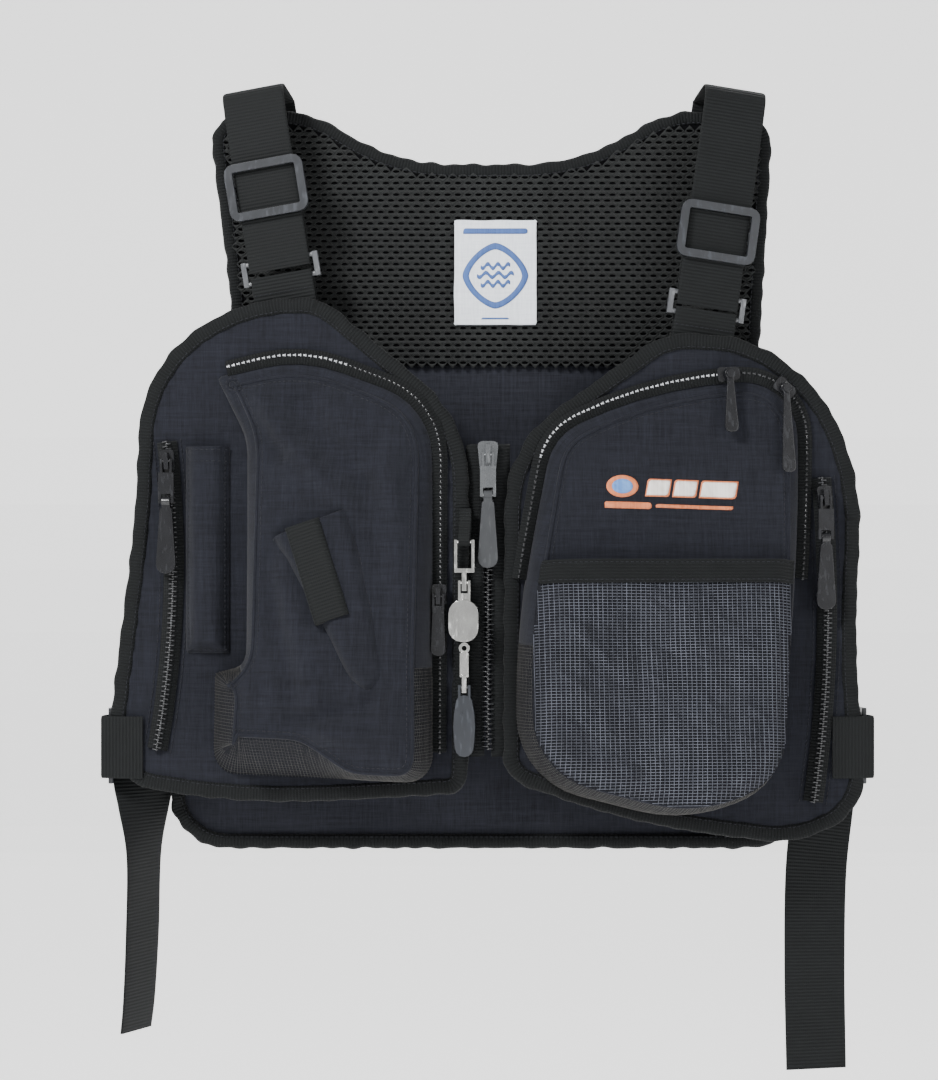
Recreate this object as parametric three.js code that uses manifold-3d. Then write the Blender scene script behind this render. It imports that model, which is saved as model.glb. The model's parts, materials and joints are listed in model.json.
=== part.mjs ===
// A fishing vest that hangs by its shoulder webbing: mesh-topped back, two fronts with bellows pockets,
// a centre zip, side zips, adjuster hardware and a retractor with a line nipper.
// Millimetres. +Z up, the wearer faces -Y, and the wearer's right side is -X.
// Origin: midway between the shoulder loops, on the line where they bear on what carries them.
import * as THREE from "three";
import { mergeVertices } from "three/addons/utils/BufferGeometryUtils.js";
import Module from "manifold-3d";

const wasm = await Module();
wasm.setup();

// ---------- driving sizes ----------
const GAP = 0.3; // clearance between pieces that touch
const WALL = 1.6; // pocket cloth, with its lining
const WEBBING = { width: 38, thick: 1.6 };
const HANG_RADIUS = 8; // round edge that the shoulder loops go over

const BACK = { y: 14, pad: 8, lowerPad: 6, shell: 1.6, seamZ: -166 };
const FRONT = { y: -30, turn: THREE.MathUtils.degToRad(7), thick: 4 };
const BINDING = { width: 9, over: 0.3 };
const LABEL = { x: 5, z: -110, width: 51, height: 65, thick: 0.9 };

const CENTRE_ZIP = { topZ: -222, bottomZ: -405, pitch: 3, tooth: 1.2, thick: 3, reach: 0.8, gullet: 1.9, root: 3.4 };
const TAPE = { thick: 0.8, inner: 2.3, outer: 13.5 };
const CHAIN = { width: 5, height: 2.6, tape: 10 };
const SIDE_ZIP = {
  right: { top: [-197, -216], bottom: [-203, -404], bow: 7 },
  left: { top: [205, -238], bottom: [200, -436], bow: 6 },
};
const SLIDER = { width: 9.4, length: 14, plate: 1.4, slack: 0.7 };
const CENTRE_SLIDER = { width: 13, length: 19, plate: 1.4, lip: 1 };
const PIN = { radius: 1, hole: 1.5, lug: 1.4, inner: 2.2, outer: 3.7 }; // a fork's pin through a lug
const PULL = { link: 24.5, width: 9.6, bar: 1.1, eye: 2.7, tab: 44, tabWidth: 13, tabThick: 3.2 };
const CHEST_TAB = { length: 36, outerLength: 52, width: 9, thick: 2 };

const POCKET = { topDepth: 0.5, tilt: THREE.MathUtils.degToRad(7.8), face: 2.2, zipInset: 5 };
const MESH_POCKET = { topZ: -290, depth: 10, wall: 1.2, inset: 9.5, hem: 14, hemThick: 1.2 };
const SLIM_POCKET = { left: -185, right: -158, topZ: -219, bottomZ: -345, depth: 9, wall: 1.4 };
const SLEEVE = { depth: 9, wall: 1.2, strapWidth: 22, strapThick: 1.4, strapLength: 72 };

const TRIGLIDE = { width: WEBBING.width + 11, height: 35, bar: 5, thick: 3 };
const RING = { width: WEBBING.width + 10, height: 15, wire: 3.2 };
const LADDER = { height: WEBBING.width + 9, length: 24, bar: 3.4, thick: 3 };
const STRAP = {
  right: { x: -146, lean: THREE.MathUtils.degToRad(9.3), slider: -62, ring: -112 },
  left: { x: 154, lean: THREE.MathUtils.degToRad(-8), slider: -89, ring: -134 },
};
const SIDE_STRAP = { top: -384, anchor: 168, edge: 238.5, barY: 7, slotY: FRONT.y + 60, tailDrop: 16.8 };
const RETRACTOR = { x: -13, z: -277, tabWidth: 7, clip: 24.5, width: 18, height: 25, depth: 11, stem: 11, snap: 27 };
const NIPPER = { length: 42, width: 15, thick: 3 };

// ---------- outlines: [x, z, how far from the corner its arc begins], anticlockwise seen from the front ----------
const OUTLINE = {
  rightFront: [
    [-150, -127, 36], [-215, -172, 42], [-216, -250, 34], [-238, -424, 32],
    [-150, -438, 54], [-12, -429, 12], [-11, -204, 38], [-101, -129, 12],
  ],
  leftFront: [
    [160, -151, 24], [108, -150, 14], [10, -219, 38], [9, -420, 14], [90, -449, 50],
    [192, -463, 24], [235, -440, 24], [226, -340, 48], [232, -240, 36], [206, -183, 26],
  ],
  back: [
    [178, -12, 20], [114, -8, 20], [56, -42, 34], [-56, -42, 34], [-112, -8, 20], [-174, -12, 20],
    [-158, -140, 30], [-160, -215, 30], [-198, -262, 24], [-198, -468, 36],
    [198, -468, 36], [198, -262, 24], [166, -215, 24], [170, -150, 30],
  ],
  rightPocket: [
    [-112, -160, 28], [-172, -174, 8], [-151, -216, 8], [-151, -349, 4],
    [-171, -354, 4], [-172, -422, 18], [-29, -427, 20], [-28, -192, 34],
  ],
  leftPocket: [
    [195, -172, 41], [100, -178, 53], [34, -210, 20], [12, -330, 50],
    [13, -424, 42], [120, -452, 32], [182, -428, 30], [195, -270, 50],
  ],
  sleeve: [[-79, -258, 2], [-128, -277, 2], [-80, -362, 6], [-68, -372, 5], [-55, -359, 6]],
  rightTail: [
    [-192, -385, 2], [-228, -385, 2], [-230, -458, 30], [-224, -580, 2],
    [-212, -580, 2], [-205, -470, 28], [-192, -432, 11],
  ],
  leftTail: [[228, -385, 2], [192, -385, 2], [176, -470, 40], [186, -608, 2], [221, -600, 2]],
};
const FINE = 0.08; // how far a facet of a zip's bend may stand off its arc
const BENDS = { outer: 0, inner: 1 }; // the left pocket's corners that its two sliders run round

// ---------- shape helpers ----------
const v2 = (x, y) => new THREE.Vector2(x, y);
const sorted = (a, b) => (a < b ? [a, b] : [b, a]);

// Points on a circle's arc, angles in radians.
function arc(centre, radius, from, sweep, steps) {
  return Array.from({ length: steps + 1 }, (_, i) => {
    const angle = from + (sweep * i) / steps;
    return v2(centre.x + radius * Math.cos(angle), centre.y + radius * Math.sin(angle));
  });
}

// The arc that rounds one corner of an outline.
function cornerArc(corners, i) {
  const at = v2(...corners[i]);
  const toBefore = v2(...corners.at(i - 1)).sub(at);
  const toAfter = v2(...corners[(i + 1) % corners.length]).sub(at);
  const reach = corners[i][2];
  toBefore.normalize();
  toAfter.normalize();
  const half = Math.acos(toBefore.dot(toAfter)) / 2;
  const bisector = toBefore.clone().add(toAfter).normalize();
  const centre = at.clone().addScaledVector(bisector, reach / Math.cos(half));
  const start = at.clone().addScaledVector(toBefore, reach).sub(centre);
  const end = at.clone().addScaledVector(toAfter, reach).sub(centre);
  const sweep = Math.atan2(start.cross(end), start.dot(end));
  return { centre, radius: start.length(), from: Math.atan2(start.y, start.x), sweep };
}

// Points of an outline with its corners rounded.
function rounded(corners, standOff = 0.25) {
  return corners.flatMap((_, i) => {
    const { centre, radius, from, sweep } = cornerArc(corners, i);
    const step = 2 * Math.acos(1 - Math.min(1, standOff / radius));
    return arc(centre, radius, from, sweep, Math.ceil(Math.abs(sweep) / step));
  });
}

// The outline moved inwards by distance, or outwards if it is negative; its arcs stay concentric.
function shrunk(corners, distance) {
  return corners.map(([x, z, reach], i) => {
    const at = v2(x, z);
    const a = at.clone().sub(v2(...corners.at(i - 1))).normalize();
    const b = v2(...corners[(i + 1) % corners.length]).sub(at).normalize();
    const along = a.clone().add(b).normalize();
    const shift = (distance * Math.sqrt(1 - along.dot(a) ** 2)) / along.dot(a);
    at.addScaledVector(v2(-along.y, along.x), distance / along.dot(a));
    return [at.x, at.y, Math.max(0.5, reach - shift * Math.sign(a.cross(b)))];
  });
}

// A flat piece with its outline in X-Z, from y = back to y = back - thick (towards the viewer).
function plate(points, back, thick, hole) {
  const shape = new THREE.Shape(points);
  if (hole) shape.holes.push(new THREE.Path(hole));
  return new THREE.ExtrudeGeometry(shape, { depth: thick, bevelEnabled: false, steps: 1 })
    .rotateX(Math.PI / 2)
    .translate(0, back, 0);
}

function box(x0, x1, y0, y1, z0, z1) {
  return new THREE.BoxGeometry(x1 - x0, y1 - y0, z1 - z0).translate((x0 + x1) / 2, (y0 + y1) / 2, (z0 + z1) / 2);
}

// The same box on both sides of x = 0.
const pair = (x0, x1, ...rest) => [-1, 1].map((side) => box(...sorted(side * x0, side * x1), ...rest));

// A rod along X with its middle at the origin.
const rod = (radius, length, sides = 10) => new THREE.CylinderGeometry(radius, radius, length, sides).rotateZ(Math.PI / 2);

// A strip of even thickness along a centre line of 2-D points.
function band(centre, thick) {
  const side = (sign) =>
    centre.map((p, i) => {
      const before = centre[Math.max(0, i - 1)];
      const after = centre[Math.min(centre.length - 1, i + 1)];
      const along = after.clone().sub(before).normalize();
      return p.clone().add(v2(-along.y, along.x).multiplyScalar((sign * thick) / 2));
    });
  return [...side(1), ...side(-1).reverse()];
}

// Webbing whose centre line runs in Y-Z and that is width wide along X.
function webbingAcrossX(centre, width, thick) {
  const options = { depth: width, bevelEnabled: false, steps: 1 };
  return new THREE.ExtrudeGeometry(new THREE.Shape(band(centre, thick)), options)
    .rotateY(Math.PI / 2)
    .rotateX(Math.PI / 2)
    .translate(-width / 2, 0, 0);
}

// Webbing whose centre line runs in X-Y and that stands from z upwards.
function webbingAcrossZ(centre, height, thick, z) {
  const options = { depth: height, bevelEnabled: false, steps: 1 };
  return new THREE.ExtrudeGeometry(new THREE.Shape(band(centre, thick)), options).translate(0, 0, z);
}

function solid(geometry) {
  const bare = geometry.clone();
  bare.deleteAttribute("normal");
  bare.deleteAttribute("uv");
  const merged = mergeVertices(bare, 1e-4);
  return new wasm.Manifold(
    new wasm.Mesh({
      numProp: 3,
      vertProperties: merged.attributes.position.array,
      triVerts: new Uint32Array(merged.index.array),
    }),
  );
}

function geometryOf(manifold) {
  const mesh = manifold.getMesh();
  const geometry = new THREE.BufferGeometry();
  geometry.setAttribute("position", new THREE.BufferAttribute(new Float32Array(mesh.vertProperties), 3));
  geometry.setIndex(new THREE.BufferAttribute(new Uint32Array(mesh.triVerts), 1));
  geometry.computeVertexNormals();
  return geometry;
}

const joined = (...parts) => geometryOf(parts.map(solid).reduce((a, b) => a.add(b)));
const cut = (part, ...tools) => geometryOf(tools.map(solid).reduce((a, b) => a.subtract(b), solid(part)));
const kept = (part, ...regions) => geometryOf(regions.map(solid).reduce((a, b) => a.add(b)).intersect(solid(part)));

// ---------- materials: colour, roughness, metalness ----------
const FINISH = {
  cloth: [0x22252b, 0.85, 0],
  mesh: [0x17191c, 0.8, 0],
  grid: [0x3a3d44, 0.7, 0],
  binding: [0x131517, 0.8, 0],
  webbing: [0x1c1e20, 0.75, 0],
  plastic: [0x3b4046, 0.4, 0],
  teeth: [0x0f1012, 0.35, 0],
  slider: [0x6d7278, 0.35, 0.9],
  rubber: [0x33373b, 0.6, 0],
  label: [0xe8ebf0, 0.8, 0],
  steel: [0xc9c7bf, 0.2, 1],
  nipper: [0x2a2f38, 0.3, 0.2],
};
const materials = Object.fromEntries(
  Object.entries(FINISH).map(([name, [color, roughness, metalness]]) => [
    name,
    new THREE.MeshStandardMaterial({ name, color, roughness, metalness }),
  ]),
);

function piece(name, geometry, material) {
  const mesh = new THREE.Mesh(geometry, materials[material]);
  mesh.name = name;
  return mesh;
}

function placed(children, { x = 0, y = 0, z = 0, turnX = 0, turnY = 0, turnZ = 0 } = {}) {
  const group = new THREE.Group();
  group.add(...children);
  group.position.set(x, y, z);
  group.rotation.set(turnX, turnY, turnZ);
  return group;
}

// ---------- back ----------
const BACK_FACE = BACK.y + BACK.pad + 2 * GAP + BACK.shell; // outermost layer of the back

function back() {
  const inside = rounded(shrunk(OUTLINE.back, BINDING.width + GAP));
  const padBack = BACK.y + BACK.pad;
  const above = box(-300, 300, -100, 100, BACK.seamZ + GAP / 2, 100);
  const below = box(-300, 300, -100, 100, -700, BACK.seamZ - GAP / 2);
  const bindingThick = BACK.pad + BACK.shell + 3 * GAP;
  const half = { x: LABEL.width / 2, z: LABEL.height / 2 };
  return [
    piece("back_mesh_yoke", kept(plate(inside, padBack, BACK.pad), above), "mesh"),
    piece("back_lower_panel", kept(plate(inside, padBack, BACK.lowerPad), below), "cloth"),
    piece("back_outer_shell", plate(inside, padBack + GAP + BACK.shell, BACK.shell), "cloth"),
    piece(
      "back_binding",
      plate(rounded(OUTLINE.back), BACK_FACE, bindingThick, rounded(shrunk(OUTLINE.back, BINDING.width))),
      "binding",
    ),
    piece(
      "woven_label",
      box(LABEL.x - half.x, LABEL.x + half.x, BACK.y - GAP - LABEL.thick, BACK.y - GAP, LABEL.z - half.z, LABEL.z + half.z),
      "label",
    ),
  ];
}

// ---------- fronts, each in its own frame: x = 0 at the centre zip, y = 0 on the panel's inner face ----------
const PANEL_FACE = -(FRONT.thick + BINDING.over + GAP); // where what is sewn on a front begins
const INNER_LAYER = BINDING.over + GAP; // where what is sewn behind a front begins

function frontPanel(side) {
  const outline = OUTLINE[`${side}Front`];
  const binding = plate(
    rounded(outline),
    BINDING.over,
    FRONT.thick + 2 * BINDING.over,
    rounded(shrunk(outline, BINDING.width)),
  );
  return [
    piece(`${side}_front_panel`, plate(rounded(shrunk(outline, BINDING.width + GAP)), 0, FRONT.thick), "cloth"),
    piece(`${side}_front_binding`, binding, "binding"),
  ];
}

// Half of the centre zip: a tape and a row of teeth that stand between the other half's teeth.
const ZIP_MIDDLE = INNER_LAYER + TAPE.thick / 2;

function centreZipHalf(side) {
  const sign = side === "right" ? -1 : 1;
  const { topZ, bottomZ, pitch, tooth, thick, reach, gullet, root } = CENTRE_ZIP;
  const first = side === "right" ? topZ - pitch / 2 : topZ - pitch;
  const edge = [v2(sign * root, topZ), v2(sign * gullet, topZ)];
  for (let z = first; z > bottomZ + pitch; z -= pitch) {
    edge.push(v2(sign * gullet, z + tooth / 2), v2(-sign * reach, z + tooth / 2));
    edge.push(v2(-sign * reach, z - tooth / 2), v2(sign * gullet, z - tooth / 2));
  }
  edge.push(v2(sign * gullet, bottomZ), v2(sign * root, bottomZ));
  const tape = box(
    ...sorted(sign * TAPE.inner, sign * TAPE.outer), INNER_LAYER, INNER_LAYER + TAPE.thick, bottomZ - 2, topZ + 4);
  return piece(`${side}_zip_half`, joined(plate(edge, ZIP_MIDDLE + thick / 2, thick), tape), "teeth");
}

// The gentle arc that a side zip follows: it bows towards +X, and its centre is far away on the -X side.
function zipArc({ top, bottom, bow }) {
  const [a, b] = [v2(...top), v2(...bottom)];
  const half = a.distanceTo(b) / 2;
  const radius = (half * half + bow * bow) / (2 * bow);
  const outward = v2(a.y - b.y, b.x - a.x).normalize();
  const centre = a.clone().add(b).multiplyScalar(0.5).addScaledVector(outward, bow - radius);
  return { centre, radius, middle: Math.atan2(outward.y, outward.x), half: Math.asin(half / radius) };
}

const CHAIN_TOP = PANEL_FACE - TAPE.thick - CHAIN.height;

function sideZip(side) {
  const { centre, radius, middle, half } = zipArc(SIDE_ZIP[side]);
  const line = arc(centre, radius, middle - half, 2 * half, 14);
  const tape = plate(band(line, CHAIN.tape), PANEL_FACE, TAPE.thick);
  const chain = plate(band(line, CHAIN.width), PANEL_FACE - TAPE.thick / 2, CHAIN.height + TAPE.thick / 2);
  return piece(`${side}_side_zip`, joined(tape, chain), "teeth");
}

// ---------- zip sliders and their pulls ----------
// Sliders' own frame: origin on the chain's middle line at the front panel's inner face, chain along Z.
const COVER = CHAIN_TOP - GAP;
const PIN_Y = COVER - SLIDER.plate - 2.2;

const lug = (back, front, y, z0, z1) =>
  cut(box(-PIN.lug, PIN.lug, front, back, z0, z1), rod(PIN.hole, 3 * PIN.lug, 8).translate(0, y, 0));
const fork = (bottom) => [rod(PIN.radius, 2 * PIN.outer - 0.4, 8), ...pair(PIN.inner, PIN.outer, -1.2, 1.2, bottom, 1.2)];

function sliderBody() {
  const { width, length, plate: wall } = SLIDER;
  const half = length / 2;
  const nose = [[width / 2, half, 2], [-width / 2, half, 2], [-width * 0.38, -half, 2], [width * 0.38, -half, 2]];
  const inner = CHAIN.width / 2 + SLIDER.slack;
  return [
    plate(rounded(nose), COVER, wall),
    ...pair(inner, inner + 1, COVER - wall / 2, PANEL_FACE - TAPE.thick - GAP, 2 - half, half - 2),
  ];
}

const lugSlider = (name) =>
  piece(name, joined(...sliderBody(), lug(COVER - SLIDER.plate / 2, PIN_Y - 2.2, PIN_Y, -5, 5)), "slider");

// A chest pocket's slider has a headed stud, and its tab swings flat against the pocket on it.
const STUD = { radius: 1.2, head: 2.6, headThick: 1, standOff: 1.5 };
const STUD_TOP = COVER - SLIDER.plate;
const EYE = { hole: STUD.radius + 2 * GAP, outer: STUD.radius + 2 * GAP + 1.5 };
const EYE_SLACK = GAP + EYE.outer * Math.sin(POCKET.tilt);

function studSlider(name) {
  const length = STUD.standOff + CHEST_TAB.thick + 2 * EYE_SLACK;
  const stud = new THREE.CylinderGeometry(STUD.radius, STUD.radius, length + 1.4, 10).translate(0, STUD_TOP - length / 2, 0);
  const head = new THREE.CylinderGeometry(STUD.head, STUD.head, STUD.headThick, 10)
    .translate(0, STUD_TOP - length - STUD.headThick / 2, 0);
  return piece(name, joined(...sliderBody(), stud, head), "slider");
}

function studTab(name, length) {
  const { width, thick } = CHEST_TAB;
  const ring = new THREE.CylinderGeometry(EYE.outer, EYE.outer, thick, 14).translate(0, -thick / 2, 0);
  const outline = [[1.8, -1.5, 0.5], [-1.8, -1.5, 0.5], [-width / 2, -length, 3.5], [width / 2, -length, 3.5]];
  const hole = new THREE.CylinderGeometry(EYE.hole, EYE.hole, 3 * thick, 14);
  const tab = piece(name, cut(joined(ring, plate(rounded(outline), 0, thick)), hole), "rubber");
  return placed([tab], { y: STUD_TOP - STUD.standOff - EYE_SLACK, turnX: -POCKET.tilt });
}

// The link swings on a slider's lug; its lower bar carries the tab.
function pullLink(name) {
  const { link, width, bar } = PULL;
  const rails = pair(width / 2 - 1.8, width / 2, -bar, bar, -link - bar, -link + 5);
  const body = box(-width / 2, width / 2, -bar, bar, -link + 4.4, -7);
  return piece(name, joined(...fork(-8), body, ...rails, rod(bar, width - 1, 8).translate(0, 0, -link)), "slider");
}

function pullTab(name) {
  const { eye, bar, tab, tabWidth, tabThick, width } = PULL;
  const eyeWidth = width - 3.6 - 2 * GAP - 0.2;
  const ring = cut(rod(eye, eyeWidth, 12), rod(bar + 0.4, 2 * eyeWidth, 8));
  const neck = box(-eyeWidth / 2, eyeWidth / 2, -tabThick / 2, tabThick / 2, -5, -bar - 0.7);
  const outline = [[3.6, -4, 1], [-3.6, -4, 1], [-tabWidth / 2, -tab, 6], [tabWidth / 2, -tab, 6]];
  return piece(name, joined(ring, neck, plate(rounded(outline), tabThick / 2, tabThick)), "rubber");
}

const pulls = (name, y) => [
  placed([pullLink(`${name}_pull_link`)], { y }),
  placed([pullTab(`${name}_pull_tab`)], { y, z: -PULL.link }),
];

// Stands on a side zip, near its top.
function sideSlider(side, below) {
  const { centre, radius, middle, half } = zipArc(SIDE_ZIP[side]);
  const angle = middle + half - below / radius;
  const hanging = placed(pulls(`${side}_side`, PIN_Y), { turnY: angle });
  return placed([lugSlider(`${side}_side_slider`), hanging], {
    x: centre.x + radius * Math.cos(angle),
    z: centre.y + radius * Math.sin(angle),
    turnY: -angle,
  });
}

const forkTab = (name, length) => {
  const { width, thick } = CHEST_TAB;
  const outline = [[3.4, -6, 1], [-3.4, -6, 1], [-width / 2, -length, 3.5], [width / 2, -length, 3.5]];
  return placed([piece(name, joined(...fork(-8), plate(rounded(outline), thick / 2, thick)), "rubber")], { y: PIN_Y });
};

// Stands on a pocket's zip line at a point, with the zip going along (dx, dz). Its tab hangs straight down.
function chestSlider(name, { x, z, dx, dz }, tabLength) {
  const slider = placed([studSlider(name)], { turnY: Math.atan2(dx, dz) });
  return placed([slider, studTab(`${name}_tab`, tabLength)], { x, z });
}

function uprightSlider(name, { x, z, dx, dz }, tabLength) {
  return placed([lugSlider(name), forkTab(`${name}_tab`, tabLength)], { x, z, turnY: Math.atan2(dx, dz) });
}

// A point part of the way along an outline's edge.
function onEdge(corners, i, part) {
  const [a, b] = [v2(...corners[i]), v2(...corners[(i + 1) % corners.length])];
  const at = a.clone().lerp(b, part);
  return { x: at.x, z: at.y, dx: b.x - a.x, dz: b.y - a.y };
}

function onCorner(corners, i, degrees) {
  const { centre, radius } = cornerArc(corners, i);
  const angle = THREE.MathUtils.degToRad(degrees);
  const [cos, sin] = [Math.cos(angle), Math.sin(angle)];
  return { x: centre.x + radius * cos, z: centre.y + radius * sin, dx: -sin, dz: cos };
}

// Slider of the centre zip: two plates round both rows of teeth, a wedge between them and a lug in front.
function centreSlider() {
  const { width, length, plate: wall, lip } = CENTRE_SLIDER;
  const half = CENTRE_ZIP.thick / 2 + GAP + CENTRE_ZIP.root * Math.sin(FRONT.turn);
  const top = 8;
  const bottom = top - length;
  const outline = rounded([[width / 2, top, 3], [-width / 2, top, 3], [-width * 0.36, bottom, 2], [width * 0.36, bottom, 2]]);
  const lipX = [CENTRE_ZIP.root + 0.5, CENTRE_ZIP.root + 1.3];
  const lips = [-1, 1].flatMap((face) =>
    pair(...lipX, ...sorted(ZIP_MIDDLE + face * (half + wall / 2), ZIP_MIDDLE + face * (half - lip / 2)), bottom + 1, 0));
  const wedge = box(-1.6, 1.6, ZIP_MIDDLE - half - wall / 2, ZIP_MIDDLE + half + wall / 2, 2.6, 7);
  const front = ZIP_MIDDLE - half - wall;
  const pinY = front - 2.2;
  const slider = joined(
    plate(outline, front + wall, wall),
    plate(outline, ZIP_MIDDLE + half + wall, wall),
    ...lips,
    wedge,
    lug(front + wall / 2, pinY - 2.2, pinY, -5, 6),
  );
  return placed([piece("centre_zip_slider", slider, "slider"), ...pulls("centre", pinY)], {
    y: FRONT.y,
    z: CENTRE_ZIP.topZ - 2.3,
  });
}

// ---------- pockets ----------
const leaning = (topZ, children) => placed(children, { y: PANEL_FACE - POCKET.topDepth, z: topZ, turnX: -POCKET.tilt });
const pocketTop = (corners) => Math.max(...rounded(shrunk(corners, POCKET.zipInset)).map((p) => p.y));

// A bellows pocket: its side wall in cloth, then in mesh from drainZ down, its face, and the zip round its edge.
function pocket(side, drainZ, zipRegions) {
  const corners = OUTLINE[`${side}Pocket`];
  const wallLine = rounded(shrunk(corners, POCKET.zipInset));
  const topZ = pocketTop(corners);
  const lean = leaning(topZ, [new THREE.Group()]);
  lean.updateMatrix();
  const inFront = box(-300, 300, -200, GAP, -500, 60).applyMatrix4(lean.matrix);
  const walls = cut(plate(wallLine, PANEL_FACE, 80, rounded(shrunk(corners, POCKET.zipInset + WALL))), inFront);
  const faceLine = wallLine.map((p) => v2(p.x, (p.y - topZ) / Math.cos(POCKET.tilt)));
  const half = CHAIN.width / 2;
  const zip = plate(
    rounded(shrunk(corners, -half), FINE),
    PANEL_FACE,
    TAPE.thick + CHAIN.height,
    rounded(shrunk(corners, half), FINE),
  );
  return [
    piece(`${side}_pocket_gusset`, kept(walls, box(-300, 300, -200, 200, drainZ + GAP / 2, 0)), "cloth"),
    piece(`${side}_pocket_drain_mesh`, kept(walls, box(-300, 300, -200, 200, -600, drainZ - GAP / 2)), "grid"),
    piece(`${side}_pocket_zip`, kept(zip, ...zipRegions), "teeth"),
    leaning(topZ, [piece(`${side}_pocket_face`, plate(faceLine, 0, POCKET.face), "cloth")]),
  ];
}

const POCKET_FRONT = -POCKET.face - GAP; // where what is sewn on a pocket's face begins

// Tapered sleeve for pliers, open at its top edge, and the webbing that crosses its mouth.
function toolSleeve() {
  const topZ = pocketTop(OUTLINE.rightPocket);
  const corners = OUTLINE.sleeve.map(([x, z, reach]) => [x, z - topZ, reach]);
  const [a, b, , low] = corners.map((corner) => v2(...corner));
  const up = a.clone().add(b).multiplyScalar(0.5).sub(low).normalize();
  const cavity = plate(rounded(shrunk(corners, SLEEVE.wall)), POCKET_FRONT - SLEEVE.wall, SLEEVE.depth - 2 * SLEEVE.wall);
  const mouth = cavity.clone().translate(up.x * 4, 0, up.y * 4);
  const sewn = POCKET_FRONT - SLEEVE.strapThick / 2;
  const proud = POCKET_FRONT - SLEEVE.depth - GAP - SLEEVE.strapThick / 2;
  const line = [v2(sewn, 10), v2(sewn, 1), v2(proud + 1, -8), v2(proud, -11), v2(proud, -SLEEVE.strapLength)];
  const strap = piece("tool_sleeve_strap", webbingAcrossX(line, SLEEVE.strapWidth, SLEEVE.strapThick), "webbing");
  return leaning(topZ, [
    piece("tool_sleeve", cut(plate(rounded(corners), POCKET_FRONT, SLEEVE.depth), cavity, mouth), "cloth"),
    placed([strap], { x: -112, z: -258 - topZ, turnY: Math.atan2(up.x, up.y) }),
  ]);
}

function slimPocket() {
  const { left, right, topZ, bottomZ, depth, wall } = SLIM_POCKET;
  const front = PANEL_FACE - depth;
  const outer = box(left, right, front, PANEL_FACE, bottomZ, topZ);
  const room = box(left + wall, right - wall, front + wall, PANEL_FACE - wall, bottomZ + wall, topZ + 5);
  return piece("slim_pocket", cut(outer, room), "cloth");
}

// Open-topped grid pocket on the left pocket's face, and its hem.
function meshPocket() {
  const topZ = pocketTop(OUTLINE.leftPocket);
  const { depth, wall, inset, hem, hemThick } = MESH_POCKET;
  const line = (distance) => rounded(shrunk(OUTLINE.leftPocket, distance)).map((p) => v2(p.x, p.y - topZ));
  const mouth = MESH_POCKET.topZ - topZ;
  const below = box(-300, 300, -100, 100, -600, mouth);
  const shell = cut(plate(line(inset), POCKET_FRONT, depth), plate(line(inset + wall), POCKET_FRONT + 1, depth + 1 - wall));
  const strip = plate(line(inset), POCKET_FRONT - depth - GAP, hemThick);
  return leaning(topZ, [
    piece("mesh_pocket", kept(shell, below), "grid"),
    piece("mesh_pocket_hem", kept(strip, box(-300, 300, -100, 100, mouth - hem, mouth)), "cloth"),
  ]);
}

// ---------- shoulder webbing, its slider and its ring ----------
// Own frame: origin on the line that the loop hangs on, the front leg in front of it and the back leg behind.
function shoulder(side) {
  const { x, lean, slider, ring } = STRAP[side];
  const { width, thick } = WEBBING;
  const hangY = (-FRONT.y - Math.abs(x) * Math.sin(FRONT.turn)) / Math.cos(FRONT.turn);
  const leg = INNER_LAYER + thick / 2 - hangY;
  const over = HANG_RADIUS + GAP + thick / 2;
  const round = RING.wire / 2 + GAP + thick / 2;
  const barZ = RING.height / 2 - RING.wire / 2;
  const sewnTo = -66;
  const skew = (width / 2 - sewnTo * Math.sin(Math.abs(lean))) * Math.sin(FRONT.turn);
  const backLeg = (BACK_FACE + GAP + thick / 2 + skew) / Math.cos(FRONT.turn);
  const line = [
    v2(backLeg, sewnTo), v2(backLeg, -10), v2(backLeg - 3, -4),
    ...arc(v2(0, -HANG_RADIUS), over, THREE.MathUtils.degToRad(75), THREE.MathUtils.degToRad(105), 7),
    v2(leg, -30),
    ...arc(v2(leg + round, ring + barZ), round, Math.PI, Math.PI, 8),
    v2(leg + 2 * round, slider + 6),
  ];
  const tabLine = [
    v2(leg, ring - barZ - 34),
    ...arc(v2(leg + round, ring - barZ), round, Math.PI, -Math.PI, 8),
    v2(leg + 2 * round, ring - barZ - 34),
  ];

  const frame = TRIGLIDE;
  const outline = [1, -1].flatMap((sz) => [sz, -sz].map((sx) => [(sx * frame.width) / 2, (sz * frame.height) / 2, 6]));
  const clear = thick / 2 + GAP;
  const post = [width / 2 + GAP, frame.width / 2 - 0.6];
  const triglide = joined(
    plate(rounded(outline), leg - clear, frame.thick, rounded(shrunk(outline, frame.bar))),
    ...pair(...post, leg - clear - 1, leg + clear + 2, -3, 3),
    box(-post[1], post[1], leg + clear, leg + clear + 2, -2.2, 2.2),
  );

  const wire = RING.wire / 2;
  const postX = RING.width / 2 - wire;
  const squareRing = joined(
    rod(wire, 2 * postX, 8).translate(0, 0, barZ),
    rod(wire, 2 * postX, 8).translate(0, 0, -barZ),
    ...pair(postX - wire, postX + wire, -wire, wire, -barZ - wire, barZ + wire),
  );
  const parts = [
    piece(`${side}_shoulder_strap`, webbingAcrossX(line, width, thick), "webbing"),
    placed([piece(`${side}_strap_slider`, triglide, "plastic")], { z: slider }),
    placed([piece(`${side}_square_ring`, squareRing, "plastic")], { y: leg + round, z: ring }),
    piece(`${side}_ring_tab`, webbingAcrossX(tabLine, width, thick), "webbing"),
  ];
  return placed(parts, { x, y: hangY, turnY: -lean });
}

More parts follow.
